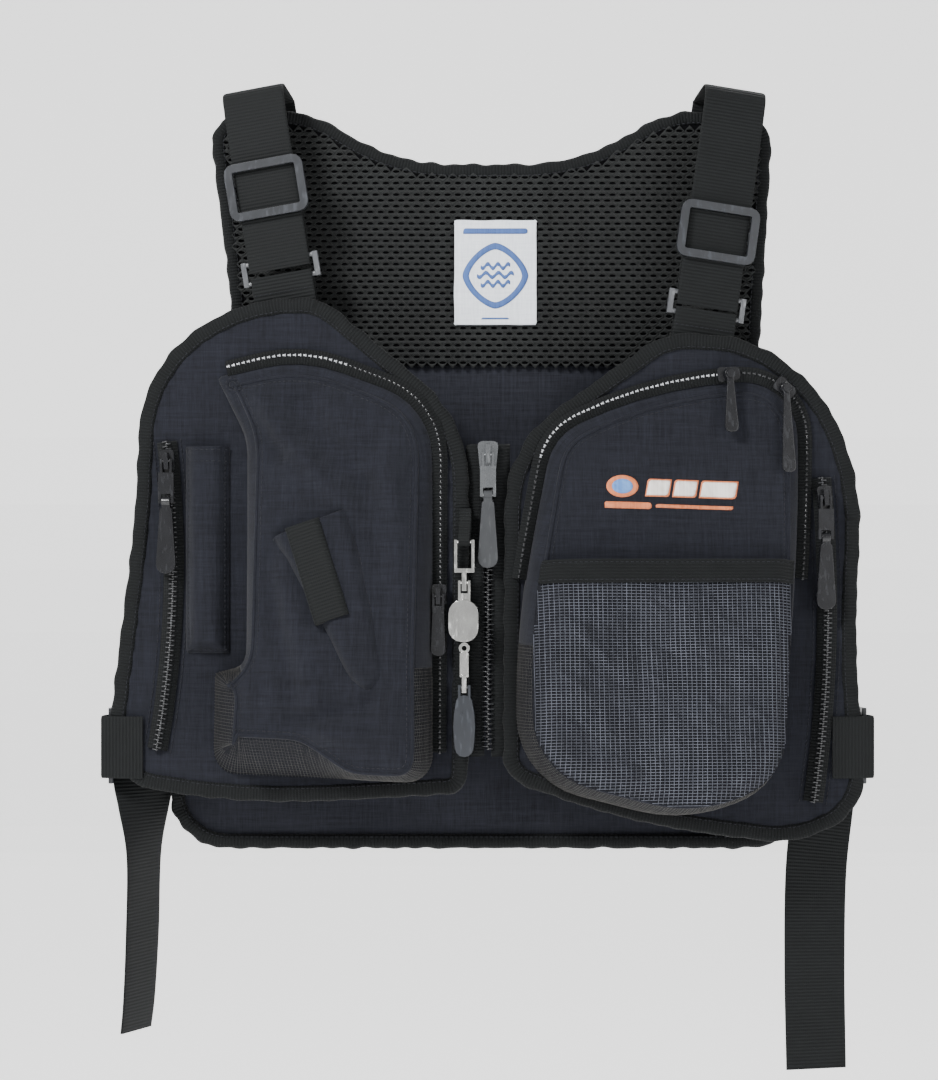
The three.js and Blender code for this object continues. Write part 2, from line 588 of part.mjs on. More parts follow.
// ---------- side adjusters: drawn for the left side, with x turned over for the right ----------
function sideAdjuster(side) {
  const sign = side === "right" ? -1 : 1;
  const { height, length, bar, thick } = LADDER;
  const { top, edge, barY } = SIDE_STRAP;
  const round = Math.hypot(bar, thick) / 2 + GAP + WEBBING.thick / 2;
  const barX = edge - round;
  const face = PANEL_FACE - WEBBING.thick / 2;
  const line = [
    v2(212, face), v2(edge - 4, face), v2(edge - 1, face + 1.5), v2(edge, face + 4.5),
    ...arc(v2(barX, barY), round, 0, Math.PI, 8), v2(edge - 2 * round, 3),
  ];
  const turned = line.map((p) => v2(sign * p.x, p.y));
  const tab = webbingAcrossZ(turned, WEBBING.width, WEBBING.thick, top - WEBBING.width);
  const near = -bar / 2;
  const slot = (length - 3 * bar) / 2;
  const slots = [0, 1].map((i) => {
    const start = near + bar + i * (slot + bar);
    return box(-thick, thick, start, start + slot, -WEBBING.width / 2 - 1, WEBBING.width / 2 + 1);
  });
  const buckle = cut(box(-thick / 2, thick / 2, near, near + length, -height / 2, height / 2), ...slots);
  return [
    piece(`${side}_side_tab`, tab, "webbing"),
    placed([piece(`${side}_ladder_buckle`, buckle, "plastic")], { x: sign * barX, y: barY, z: top - WEBBING.width / 2 }),
  ];
}

// Adjuster webbing: sewn to the back, through the ladder buckle's far slot, then hanging down as a loose tail.
function sideStrap(side) {
  const sign = side === "right" ? -1 : 1;
  const { top, anchor, slotY, tailDrop } = SIDE_STRAP;
  const tailY = slotY - tailDrop;
  const run = BACK_FACE + GAP + WEBBING.thick / 2;
  const line = [
    [anchor, run], [214, run], [224, slotY - 1.5], [228, slotY], [233, slotY], [235.4, slotY - 2.5],
    [234.7, slotY - 7], [231, slotY - 9], [227, slotY - 10.5], [226, slotY - 13], [226, tailY - WEBBING.thick / 2],
  ];
  const turned = line.map(([x, y]) => v2(sign * x, y));
  const webbing = webbingAcrossZ(turned, WEBBING.width, WEBBING.thick, top - WEBBING.width);
  const tail = plate(rounded(OUTLINE[`${side}Tail`]), tailY, WEBBING.thick);
  return piece(`${side}_side_strap`, joined(webbing, tail), "webbing");
}

// ---------- retractor with a line nipper, hanging from a tab on the right front ----------
function retractor() {
  const { x, z, tabWidth, clip, width, height, depth, stem, snap } = RETRACTOR;
  const bar = 1.2;
  const tabThick = 1.2;
  const round = bar + GAP + tabThick / 2;
  const y = PANEL_FACE - GAP - depth / 2;
  const sewn = PANEL_FACE - tabThick / 2 - y;
  const line = [
    v2(sewn, 20), v2(sewn, 9), v2(round, 1.5),
    ...arc(v2(0, 0), round, 0, -Math.PI, 8),
    v2(-round, 2.5), v2(sewn - tabThick - GAP - 0.1, 12), v2(sewn - tabThick - GAP - 0.1, 20),
  ];
  const clipBody = joined(
    rod(bar, tabWidth + 5, 8),
    ...pair(tabWidth / 2 + 0.8, tabWidth / 2 + 2.6, -1.2, 1.2, -17, 1.2),
    box(-tabWidth / 2 - 2.6, tabWidth / 2 + 2.6, -1.2, 1.2, -18.5, -16),
    lug(2.2, -2.2, 0, -5, 7.5).translate(0, 0, -clip),
  );
  const reelTop = 0.5 - stem;
  const drum = [1, -1].flatMap((sz) =>
    [sz, -sz].map((sx) => [(sx * width) / 2, reelTop - height / 2 + (sz * height) / 2, 8]));
  const housing = joined(...fork(-9), box(-PIN.outer, PIN.outer, -1.2, 1.2, -stem, -6.5), plate(rounded(drum), depth / 2, depth));
  const ring = cut(
    new THREE.CylinderGeometry(3.4, 3.4, 2.4, 12).translate(0, 0, -3.6),
    new THREE.CylinderGeometry(1.6, 1.6, 8, 10).translate(0, 0, -3.6),
  );
  const snapBody = joined(ring, box(-2.7, 2.7, -1.6, 1.6, -21, -6.4), lug(1.9, -1.9, 0, -3.4, 7).translate(0, 0, -snap));
  const half = NIPPER.width / 2;
  const end = -NIPPER.length;
  const blade = [[4, -5, 3], [-4, -5, 3], [-half, -20, 12], [-5, end, 5], [5, end, 5], [half, -20, 12]];
  const nipperBody = joined(...fork(-8), plate(rounded(blade), NIPPER.thick / 2, NIPPER.thick));
  const reelZ = -clip;
  const snapZ = reelZ - stem - height + 0.5 - GAP;
  return placed(
    [
      piece("retractor_tab", webbingAcrossX(line, tabWidth, tabThick), "webbing"),
      piece("retractor_clip", clipBody, "steel"),
      placed([piece("retractor_reel", housing, "steel")], { z: reelZ }),
      placed([piece("retractor_snap", snapBody, "steel")], { z: snapZ }),
      placed([piece("line_nipper", nipperBody, "nipper")], { z: snapZ - snap }),
    ],
    { x, y, z },
  );
}

// ---------- assembly ----------
const front = (side, children) => placed(children, { y: FRONT.y, turnZ: side === "right" ? -FRONT.turn : FRONT.turn });

const rightZip = [box(-160, 0, -50, 50, -182, 0), box(-60, 0, -50, 50, -404, 0)];
const leftZip = [box(0, 300, -50, 50, -300, 0)];

const vest = new THREE.Group();
vest.name = "fishing_vest";
vest.add(
  ...back(),
  sideStrap("right"),
  sideStrap("left"),
  centreSlider(),
  front("right", [
    ...frontPanel("right"),
    centreZipHalf("right"),
    ...pocket("right", -352, rightZip),
    uprightSlider("right_chest_slider", onEdge(OUTLINE.rightPocket, 6, 0.5), CHEST_TAB.length),
    toolSleeve(),
    slimPocket(),
    sideZip("right"),
    sideSlider("right", 12),
    shoulder("right"),
    ...sideAdjuster("right"),
    retractor(),
  ]),
  front("left", [
    ...frontPanel("left"),
    centreZipHalf("left"),
    ...pocket("left", -338, leftZip),
    chestSlider("left_chest_inner_slider", onCorner(OUTLINE.leftPocket, BENDS.inner, 95), CHEST_TAB.length),
    chestSlider("left_chest_outer_slider", onCorner(OUTLINE.leftPocket, BENDS.outer, 50), CHEST_TAB.outerLength),
    meshPocket(),
    sideZip("left"),
    sideSlider("left", 12),
    shoulder("left"),
    ...sideAdjuster("left"),
  ]),
);

export default vest;
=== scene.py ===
import json
import math

import bmesh
import bpy
import numpy as np
from mathutils import Matrix, Vector
from mathutils.geometry import delaunay_2d_cdt


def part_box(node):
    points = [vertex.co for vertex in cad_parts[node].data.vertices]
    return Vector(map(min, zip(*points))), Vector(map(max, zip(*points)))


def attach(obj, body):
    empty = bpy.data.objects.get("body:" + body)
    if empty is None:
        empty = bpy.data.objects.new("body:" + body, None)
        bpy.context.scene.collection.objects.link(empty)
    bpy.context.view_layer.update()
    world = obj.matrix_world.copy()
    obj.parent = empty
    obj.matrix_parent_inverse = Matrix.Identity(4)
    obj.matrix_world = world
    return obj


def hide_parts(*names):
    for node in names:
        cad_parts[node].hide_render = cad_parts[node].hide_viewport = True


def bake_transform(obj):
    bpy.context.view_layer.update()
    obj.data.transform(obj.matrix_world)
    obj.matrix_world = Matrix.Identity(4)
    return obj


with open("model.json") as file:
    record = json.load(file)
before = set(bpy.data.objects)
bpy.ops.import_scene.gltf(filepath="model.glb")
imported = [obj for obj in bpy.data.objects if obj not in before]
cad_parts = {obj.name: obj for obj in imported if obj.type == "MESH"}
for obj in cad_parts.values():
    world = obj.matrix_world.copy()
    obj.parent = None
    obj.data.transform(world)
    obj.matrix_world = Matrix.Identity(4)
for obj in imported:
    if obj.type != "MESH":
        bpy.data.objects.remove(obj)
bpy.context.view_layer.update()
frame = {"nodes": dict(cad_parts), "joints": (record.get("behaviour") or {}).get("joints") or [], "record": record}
NODES = frame["nodes"]
JOINTS = {joint["name"]: joint for joint in frame["joints"]}

MM = 0.001
FRONT_Y = -0.030
FRONT_TURN = math.radians(7)
POCKET_TILT = math.radians(7.8)
PANEL_FACE = -0.0046  # where what is sewn on a front begins
WEBBING_WIDTH = 0.038
WEBBING_THICK = 0.0016
SIDES = {"right": -1, "left": 1}


def front_frame(side):
    return Matrix.Translation((0, FRONT_Y, 0)) @ Matrix.Rotation(SIDES[side] * FRONT_TURN, 4, "Z")


def leaning_frame(side):
    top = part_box(f"{side}_pocket_face")[1].z - 0.0022 * math.sin(POCKET_TILT)
    lean = Matrix.Rotation(-POCKET_TILT, 4, "X")
    return front_frame(side) @ Matrix.Translation((0, PANEL_FACE - 0.0005, top)) @ lean


def hung_frame(joint, side=None):
    """Where a swinging piece hangs from, turned with its front."""
    turn = Matrix.Rotation(SIDES[side] * FRONT_TURN, 4, "Z") if side else Matrix.Identity(4)
    return Matrix.Translation(JOINTS[joint]["pos_m"]) @ turn


# ---------- camera, light and floor ----------
def make_stage():
    scene = bpy.context.scene
    camera = bpy.data.objects.new("camera", bpy.data.cameras.new("camera"))
    scene.collection.objects.link(camera)
    camera.data.lens = 85
    camera.data.sensor_width = 36
    camera.location = (-0.0114, -1.57, -0.276)
    camera.rotation_euler = (math.pi / 2, 0, 0)
    camera.data.clip_start = 0.05
    scene.camera = camera

    world = bpy.data.worlds.new("soft_white")
    world.use_nodes = True
    world.node_tree.nodes["Background"].inputs["Color"].default_value = (1, 1, 1, 1)
    world.node_tree.nodes["Background"].inputs["Strength"].default_value = 0.55
    scene.world = world

    def lamp(name, at, toward, size, power):
        data = bpy.data.lights.new(name, "AREA")
        data.shape = "DISK"
        data.size = size
        data.energy = power
        light = bpy.data.objects.new(name, data)
        light.location = at
        light.rotation_euler = (Vector(toward) - Vector(at)).to_track_quat("-Z", "Y").to_euler()
        scene.collection.objects.link(light)

    lamp("key", (-1.1, -1.3, 1.0), (0, 0, -0.3), 0.55, 62)
    lamp("fill", (1.5, -1.4, 0.1), (0, 0, -0.3), 1.2, 16)
    lamp("rim", (0.3, 0.9, 1.2), (0, 0, -0.2), 0.8, 14)

    floor = bpy.data.meshes.new("pale_floor")
    bend = np.linspace(0.15, math.pi / 2, 9)
    ys = [-6.0, 3.0] + [3.0 + 0.8 * math.sin(a) for a in bend] + [3.8]
    zs = [-0.86, -0.86] + [-0.06 - 0.8 * math.cos(a) for a in bend] + [6.0]
    verts = [(x, y, z) for y, z in zip(ys, zs) for x in (-7, 7)]
    faces = [(2 * i, 2 * i + 1, 2 * i + 3, 2 * i + 2) for i in range(len(ys) - 1)]
    floor.from_pydata(verts, [], faces)
    stage = bpy.data.objects.new("pale_floor", floor)
    scene.collection.objects.link(stage)
    plain = bpy.data.materials.new("pale_floor")
    plain.use_nodes = True
    shader = plain.node_tree.nodes["Principled BSDF"]
    shader.inputs["Base Color"].default_value = (0.93, 0.93, 0.93, 1)
    shader.inputs["Roughness"].default_value = 0.9
    shader.inputs["Emission Color"].default_value = (1, 1, 1, 1)
    shader.inputs["Emission Strength"].default_value = 0.8
    floor.materials.append(plain)


# ---------- shader groups ----------
def new_group(name, inputs, outputs):
    tree = bpy.data.node_groups.new(name, "ShaderNodeTree")
    for label, kind, value in inputs:
        socket = tree.interface.new_socket(label, in_out="INPUT", socket_type=kind)
        if value is not None:
            socket.default_value = value
    for label, kind in outputs:
        tree.interface.new_socket(label, in_out="OUTPUT", socket_type=kind)
    return tree, tree.nodes.new("NodeGroupInput"), tree.nodes.new("NodeGroupOutput")


def maths(tree, operation, a, b=None, c=None):
    node = tree.nodes.new("ShaderNodeMath")
    node.operation = operation
    for socket, value in zip(node.inputs, (a, b, c)):
        if value is None:
            continue
        if isinstance(value, (int, float)):
            socket.default_value = value
        else:
            tree.links.new(value, socket)
    return node.outputs[0]


def stretched_noise(tree, vector, scale, detail=2.0):
    mapping = tree.nodes.new("ShaderNodeMapping")
    mapping.inputs["Scale"].default_value = scale
    tree.links.new(vector, mapping.inputs["Vector"])
    noise = tree.nodes.new("ShaderNodeTexNoise")
    noise.inputs["Scale"].default_value = 1.0
    noise.inputs["Detail"].default_value = detail
    tree.links.new(mapping.outputs[0], noise.inputs["Vector"])
    return noise.outputs["Fac"]


def split(tree, vector):
    node = tree.nodes.new("ShaderNodeSeparateXYZ")
    tree.links.new(vector, node.inputs[0])
    return node.outputs


def plain_weave():
    """Over-and-under threads with slubs: a tint from dark to light, and a height."""
    tree, source, result = new_group(
        "plain_weave",
        [("Vector", "NodeSocketVector", None), ("Threads per metre", "NodeSocketFloat", 1500.0)],
        [("Tint", "NodeSocketFloat"), ("Height", "NodeSocketFloat")],
    )
    x, y, _ = split(tree, source.outputs["Vector"])
    pitch = maths(tree, "MULTIPLY", source.outputs["Threads per metre"], math.pi)
    warp = maths(tree, "SINE", maths(tree, "MULTIPLY", x, pitch))
    weft = maths(tree, "SINE", maths(tree, "MULTIPLY", y, pitch))
    over = maths(tree, "ABSOLUTE", maths(tree, "MULTIPLY", warp, weft))
    upright = stretched_noise(tree, source.outputs["Vector"], (1500, 110, 1))
    level = stretched_noise(tree, source.outputs["Vector"], (110, 1500, 1))
    patchy = stretched_noise(tree, source.outputs["Vector"], (45, 38, 30), 4.0)
    thick_yarn = stretched_noise(tree, source.outputs["Vector"], (560, 22, 1))
    thick_pick = stretched_noise(tree, source.outputs["Vector"], (22, 560, 1))
    fine = maths(tree, "ADD", maths(tree, "MULTIPLY", upright, 0.4), maths(tree, "MULTIPLY", level, 0.3))
    coarse = maths(tree, "ADD", maths(tree, "MULTIPLY", thick_yarn, 0.35), maths(tree, "MULTIPLY", thick_pick, 0.35))
    slubs = maths(tree, "ADD", fine, coarse)
    spread = maths(tree, "ADD", maths(tree, "MULTIPLY", maths(tree, "SUBTRACT", slubs, 0.7), 2.0), 0.3)
    tint = maths(tree, "ADD", spread, maths(tree, "MULTIPLY", patchy, 0.3))
    tree.links.new(maths(tree, "ADD", tint, maths(tree, "MULTIPLY", over, 0.1)), result.inputs["Tint"])
    tree.links.new(maths(tree, "ADD", over, maths(tree, "MULTIPLY", slubs, 1.6)), result.inputs["Height"])
    return tree


def ribbed_tape():
    """Ribs across a tape, whose length runs along the vector's second coordinate."""
    tree, source, result = new_group(
        "ribbed_tape",
        [("Vector", "NodeSocketVector", None), ("Ribs per metre", "NodeSocketFloat", 480.0)],
        [("Tint", "NodeSocketFloat"), ("Height", "NodeSocketFloat")],
    )
    x, y, _ = split(tree, source.outputs["Vector"])
    turns = maths(tree, "MULTIPLY", source.outputs["Ribs per metre"], 2 * math.pi)
    ribs = maths(tree, "SINE", maths(tree, "MULTIPLY", y, turns))
    yarns = maths(tree, "ABSOLUTE", maths(tree, "SINE", maths(tree, "MULTIPLY", x, 2600)))
    fuzz = stretched_noise(tree, source.outputs["Vector"], (900, 900, 1), 3.0)
    patchy = stretched_noise(tree, source.outputs["Vector"], (60, 60, 60), 3.0)
    height = maths(tree, "ADD", maths(tree, "MULTIPLY", ribs, 0.5), maths(tree, "MULTIPLY", yarns, 0.25))
    lift = maths(tree, "ADD", maths(tree, "MULTIPLY", ribs, 0.22), maths(tree, "MULTIPLY", fuzz, 0.45))
    tree.links.new(maths(tree, "ADD", lift, maths(tree, "MULTIPLY", patchy, 0.4)), result.inputs["Tint"])
    tree.links.new(maths(tree, "ADD", height, maths(tree, "MULTIPLY", fuzz, 0.5)), result.inputs["Height"])
    return tree


def handling_marks():
    """Fine scuffs and smears on hard pieces: a mask and a height."""
    tree, source, result = new_group(
        "handling_marks",
        [("Vector", "NodeSocketVector", None)],
        [("Mask", "NodeSocketFloat"), ("Height", "NodeSocketFloat")],
    )
    smears = stretched_noise(tree, source.outputs["Vector"], (160, 160, 90), 4.0)
    grain = stretched_noise(tree, source.outputs["Vector"], (2400, 2400, 2400), 2.0)
    scuffs = stretched_noise(tree, source.outputs["Vector"], (520, 520, 140), 5.0)
    sharp = maths(tree, "SMOOTH_MIN", maths(tree, "MULTIPLY", maths(tree, "SUBTRACT", scuffs, 0.56), 6.0), 1.0, 0.1)
    mask = maths(tree, "ADD", maths(tree, "MULTIPLY", smears, 0.6), maths(tree, "MAXIMUM", sharp, 0.0))
    tree.links.new(mask, result.inputs["Mask"])
    tree.links.new(maths(tree, "ADD", grain, maths(tree, "MULTIPLY", scuffs, 0.6)), result.inputs["Height"])
    return tree


WEAVE = plain_weave()
RIBS = ribbed_tape()
MARKS = handling_marks()


def textured(name, group, settings, dark, light, rough, bump, vector="UV", metal=0.0, sheen=0.0, coat=0.0, shine=0.5):
    """A material whose colour and roughness run between two values as its group says."""
    material = bpy.data.materials.new(name)
    material.use_nodes = True
    tree = material.node_tree
    shader = tree.nodes["Principled BSDF"]
    shader.inputs["Metallic"].default_value = metal
    shader.inputs["Specular IOR Level"].default_value = shine
    shader.inputs["Sheen Weight"].default_value = sheen
    shader.inputs["Sheen Roughness"].default_value = 0.45
    shader.inputs["Coat Weight"].default_value = coat
    shader.inputs["Coat Roughness"].default_value = 0.12
    place = tree.nodes.new("ShaderNodeTexCoord")
    pattern = tree.nodes.new("ShaderNodeGroup")
    pattern.node_tree = group
    tree.links.new(place.outputs[vector], pattern.inputs["Vector"])
    for label, value in settings.items():
        pattern.inputs[label].default_value = value
    mix = tree.nodes.new("ShaderNodeMix")
    mix.data_type = "RGBA"
    mix.inputs["A"].default_value = (*dark, 1)
    mix.inputs["B"].default_value = (*light, 1)
    tree.links.new(pattern.outputs[0], mix.inputs["Factor"])
    tree.links.new(mix.outputs["Result"], shader.inputs["Base Color"])
    spread = tree.nodes.new("ShaderNodeMapRange")
    spread.inputs["To Min"].default_value = rough[0]
    spread.inputs["To Max"].default_value = rough[1]
    tree.links.new(pattern.outputs[0], spread.inputs["Value"])
    tree.links.new(spread.outputs["Result"], shader.inputs["Roughness"])
    relief = tree.nodes.new("ShaderNodeBump")
    relief.inputs["Strength"].default_value = bump[0]
    relief.inputs["Distance"].default_value = bump[1]
    tree.links.new(pattern.outputs["Height"], relief.inputs["Height"])
    tree.links.new(relief.outputs["Normal"], shader.inputs["Normal"])
    return material


CLOTH = textured("nylon_cloth", WEAVE, {"Threads per metre": 1400.0}, (0.0042, 0.0046, 0.0068), (0.019, 0.0205, 0.0285),
                 (0.78, 0.96), (0.5, 0.0004), sheen=0.07, shine=0.13)
LINING = textured("back_cloth", WEAVE, {"Threads per metre": 1400.0}, (0.006, 0.0064, 0.009), (0.027, 0.029, 0.039),
                  (0.78, 0.96), (0.5, 0.0004), sheen=0.1, shine=0.14)
BINDING = textured("binding_tape", RIBS, {"Ribs per metre": 520.0}, (0.0032, 0.0036, 0.0038), (0.0125, 0.0138, 0.0145),
                   (0.7, 0.9), (0.6, 0.0005), sheen=0.05, shine=0.12)
WEBBING = textured("ribbed_webbing", RIBS, {"Ribs per metre": 476.0}, (0.003, 0.0034, 0.0036), (0.0125, 0.014, 0.0145),
                   (0.62, 0.85), (0.45, 0.0004), sheen=0.04, shine=0.14)
KNIT = textured("air_mesh", WEAVE, {"Threads per metre": 2200.0}, (0.0055, 0.006, 0.006), (0.023, 0.025, 0.025),
                (0.55, 0.8), (0.4, 0.0003), vector="Object", sheen=0.08, shine=0.2)
KNIT_SHADE = textured("air_mesh_inside", WEAVE, {"Threads per metre": 900.0}, (0.0006, 0.0006, 0.0008),
                      (0.003, 0.003, 0.004), (0.8, 0.95), (0.2, 0.0003), shine=0.08)
GRID_YARN = textured("grid_yarn", WEAVE, {"Threads per metre": 2500.0}, (0.01, 0.011, 0.015), (0.14, 0.15, 0.185),
                     (0.45, 0.75), (0.4, 0.0002), vector="Object", shine=0.3)
GRID_DARK = textured("grid_edge_yarn", WEAVE, {"Threads per metre": 2500.0}, (0.008, 0.008, 0.009), (0.085, 0.083, 0.078),
                     (0.5, 0.8), (0.4, 0.0002), vector="Object", shine=0.25)
# a dark sheet behind mesh yarns: painted shade seen through the mesh
MESH_SHADE = textured("painted_shade_behind_mesh", WEAVE, {"Threads per metre": 600.0}, (0.004, 0.004, 0.006), (0.014, 0.015, 0.019),
                    (0.6, 0.9), (0.5, 0.0004), shine=0.1)
THREAD = textured("sewing_thread", WEAVE, {"Threads per metre": 3000.0}, (0.006, 0.006, 0.008), (0.03, 0.031, 0.037),
                  (0.5, 0.8), (0.3, 0.0001), vector="Object", shine=0.15)
# zip teeth in painted highlight: pale copies of the black teeth, laid where light falls on the zips
TEETH_HIGHLIGHT = textured("zip_teeth_painted_highlight", MARKS, {}, (0.26, 0.27, 0.29), (0.75, 0.76, 0.78), (0.3, 0.5), (0.2, 0.0001), vector="Object")
TEETH = textured("black_zip_teeth", MARKS, {}, (0.006, 0.006, 0.007), (0.04, 0.042, 0.046), (0.22, 0.42),
                 (0.15, 0.0001), vector="Object", coat=0.3)
PLASTIC = textured("moulded_buckle", MARKS, {}, (0.012, 0.013, 0.015), (0.032, 0.036, 0.044), (0.3, 0.46),
                   (0.25, 0.0001), vector="Object", coat=0.25)
RING_PLASTIC = textured("pale_ring", MARKS, {}, (0.05, 0.053, 0.058), (0.16, 0.165, 0.175), (0.25, 0.4),
                        (0.2, 0.0001), vector="Object", coat=0.3)
GUNMETAL = textured("gunmetal", MARKS, {}, (0.2, 0.21, 0.22), (0.28, 0.29, 0.3), (0.24, 0.34), (0.1, 0.00005),
                    vector="Object", metal=0.9)
BLACK_METAL = textured("black_enamel", MARKS, {}, (0.006, 0.006, 0.007), (0.018, 0.019, 0.022), (0.2, 0.34),
                       (0.15, 0.0001), vector="Object", coat=0.3, shine=0.3)
RUBBER = textured("rubber_tab", MARKS, {}, (0.03, 0.032, 0.035), (0.06, 0.063, 0.067), (0.5, 0.65), (0.2, 0.0001), vector="Object", shine=0.3)
CHROME = textured("bright_plate", MARKS, {}, (0.62, 0.62, 0.6), (0.86, 0.86, 0.84), (0.1, 0.28), (0.1, 0.00005),
                  vector="Object", metal=1.0)
AMBER = textured("amber_core", MARKS, {}, (0.3, 0.12, 0.03), (0.75, 0.36, 0.12), (0.25, 0.45), (0.2, 0.0001), vector="Object", coat=0.5)
SATIN = textured("satin_black", MARKS, {}, (0.01, 0.012, 0.016), (0.035, 0.04, 0.05), (0.24, 0.4), (0.15, 0.00005),
                 vector="Object", coat=0.35)
LABEL_WHITE = textured("label_ground", WEAVE, {"Threads per metre": 2200.0}, (0.62, 0.66, 0.72), (0.9, 0.93, 0.97),
                       (0.6, 0.85), (0.35, 0.0002))
LABEL_BLUE = textured("label_thread", WEAVE, {"Threads per metre": 2200.0}, (0.025, 0.06, 0.2), (0.07, 0.15, 0.4),
                      (0.5, 0.8), (0.35, 0.0002), vector="Object")
PRINT_WHITE = textured("pale_print", WEAVE, {"Threads per metre": 1400.0}, (0.6, 0.55, 0.5), (0.92, 0.88, 0.84),
                       (0.5, 0.7), (0.3, 0.0002), vector="Object")
PRINT_ORANGE = textured("orange_print", WEAVE, {"Threads per metre": 1400.0}, (0.42, 0.1, 0.03), (0.78, 0.25, 0.1),
                        (0.5, 0.7), (0.3, 0.0002), vector="Object")
PRINT_BLUE = textured("blue_print", WEAVE, {"Threads per metre": 1400.0}, (0.05, 0.15, 0.42), (0.2, 0.4, 0.75),
                      (0.5, 0.7), (0.3, 0.0002), vector="Object")


# ---------- outlines taken from the frame ----------
def outlines(node, to_world, face="front"):
    """Closed loops of (x, z) round a plate's flat face, the longest first, anticlockwise seen from the front."""
    mesh = bmesh.new()
    mesh.from_mesh(NODES[node].data)
    mesh.transform(to_world.inverted())
    bmesh.ops.remove_doubles(mesh, verts=mesh.verts, dist=2e-6)
    pick = min if face == "front" else max
    level = pick(v.co.y for v in mesh.verts)
    flat = {f for f in mesh.faces if all(abs(v.co.y - level) < 4e-5 for v in f.verts)}
    onward = {}
    for f in flat:
        for corner in f.loops:
            if sum(g in flat for g in corner.edge.link_faces) == 1:
                onward[corner.vert] = corner.link_loop_next.vert
    loops = []
    while onward:
        start, at = next(iter(onward.items()))
        loop = [start]
        del onward[start]
        while at is not start and at in onward:
            loop.append(at)
            at = onward.pop(at)
        loops.append(np.array([(v.co.x, v.co.z) for v in loop]))
    mesh.free()
    if face != "front":
        loops = [loop[::-1] for loop in loops]
    return sorted(loops, key=lambda loop: -np.linalg.norm(np.roll(loop, -1, 0) - loop, axis=1).sum())


def spaced(loop, step, closed=True):
    """The same line with points at even steps."""
    line = np.vstack([loop, loop[:1]]) if closed else np.asarray(loop, float)
    at = np.concatenate([[0], np.cumsum(np.linalg.norm(np.diff(line, axis=0), axis=1))])
    count = max(6, int(round(at[-1] / step)))
    s = np.linspace(0, at[-1], count, endpoint=False) if closed else np.linspace(0, at[-1], count + 1)
    return np.column_stack([np.interp(s, at, line[:, k]) for k in range(line.shape[1])])


def inward(loop):
    """Unit normals of a closed loop, pointing into the material."""
    t = np.roll(loop, -1, 0) - np.roll(loop, 1, 0)
    n = np.column_stack([-t[:, 1], t[:, 0]])
    return n / (np.linalg.norm(n, axis=1)[:, None] + 1e-12)


def inside(points, loops):
    x, z = points.T
    odd = np.zeros(len(points), bool)
    for loop in loops:
        for (x0, z0), (x1, z1) in zip(loop, np.roll(loop, -1, 0)):
            crosses = (z0 > z) != (z1 > z)
            if crosses.any():
                odd ^= crosses & (x < (x1 - x0) * (z - z0) / (z1 - z0) + x0)
    return odd


def grown(loops, by):
    """Outlines reaching a little way in under the tape round them."""
    return [loop - inward(loop) * by for loop in (spaced(loop, 0.0024) for loop in loops)]


def edge_distance(points, loops):
    best = np.full(len(points), 9.0)
    for loop in loops:
        for p, q in zip(loop, np.roll(loop, -1, 0)):
            d = q - p
            t = np.clip(((points - p) @ d) / (d @ d + 1e-18), 0, 1)
            best = np.minimum(best, np.linalg.norm(points - p - t[:, None] * d, axis=1))
    return best


# ---------- making pieces ----------
def put(mesh, name, material, body=None, to_world=None, smooth=True):
    if to_world is not None:
        mesh.transform(to_world)
    piece = bpy.data.objects.new(name, mesh)
    bpy.context.scene.collection.objects.link(piece)
    if not mesh.materials:
        mesh.materials.append(material)
    mesh.polygons.foreach_set("use_smooth", [smooth] * len(mesh.polygons))
    if body:
        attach(piece, body)
    return piece


def shape(name, verts, faces, uv=None):
    mesh = bpy.data.meshes.new(name)
    mesh.from_pydata([tuple(v) for v in verts], [], [tuple(f) for f in faces])
    if uv is not None:
        corners = np.zeros(len(mesh.loops), np.int32)
        mesh.loops.foreach_get("vertex_index", corners)
        layer = mesh.uv_layers.new(name="cut")
        layer.data.foreach_set("uv", np.asarray(uv, np.float32)[corners].ravel())
    mesh.update()
    return mesh


def waves(x, z, size, height, seed):
    """Gentle irregular rolls about size across."""
    chance = np.random.default_rng(seed)
    total = np.zeros_like(x)
    for _ in range(9):
        angle = chance.uniform(0, math.pi)
        length = size * chance.uniform(0.7, 1.6)
        phase = chance.uniform(0, 6.283)
        total += np.sin((x * math.cos(angle) + z * math.sin(angle)) * 6.283 / length + phase)
    return height * total / 3


def crease(x, z, a, b, width, height, sharp=2.0):
    """A fold from a to b, in millimetres, that fades at its ends."""
    p, q = np.array(a) * MM, np.array(b) * MM
    d = q - p
    t = ((x - p[0]) * d[0] + (z - p[1]) * d[1]) / (d @ d)
    off = np.abs((x - p[0]) * d[1] - (z - p[1]) * d[0]) / math.sqrt(d @ d)
    ends = np.clip(np.minimum(t + 0.15, 1.15 - t) / 0.35, 0, 1)
    fade = ends * ends * (3 - 2 * ends)
    return height * MM * fade * np.exp(-((off / (width * MM)) ** sharp))


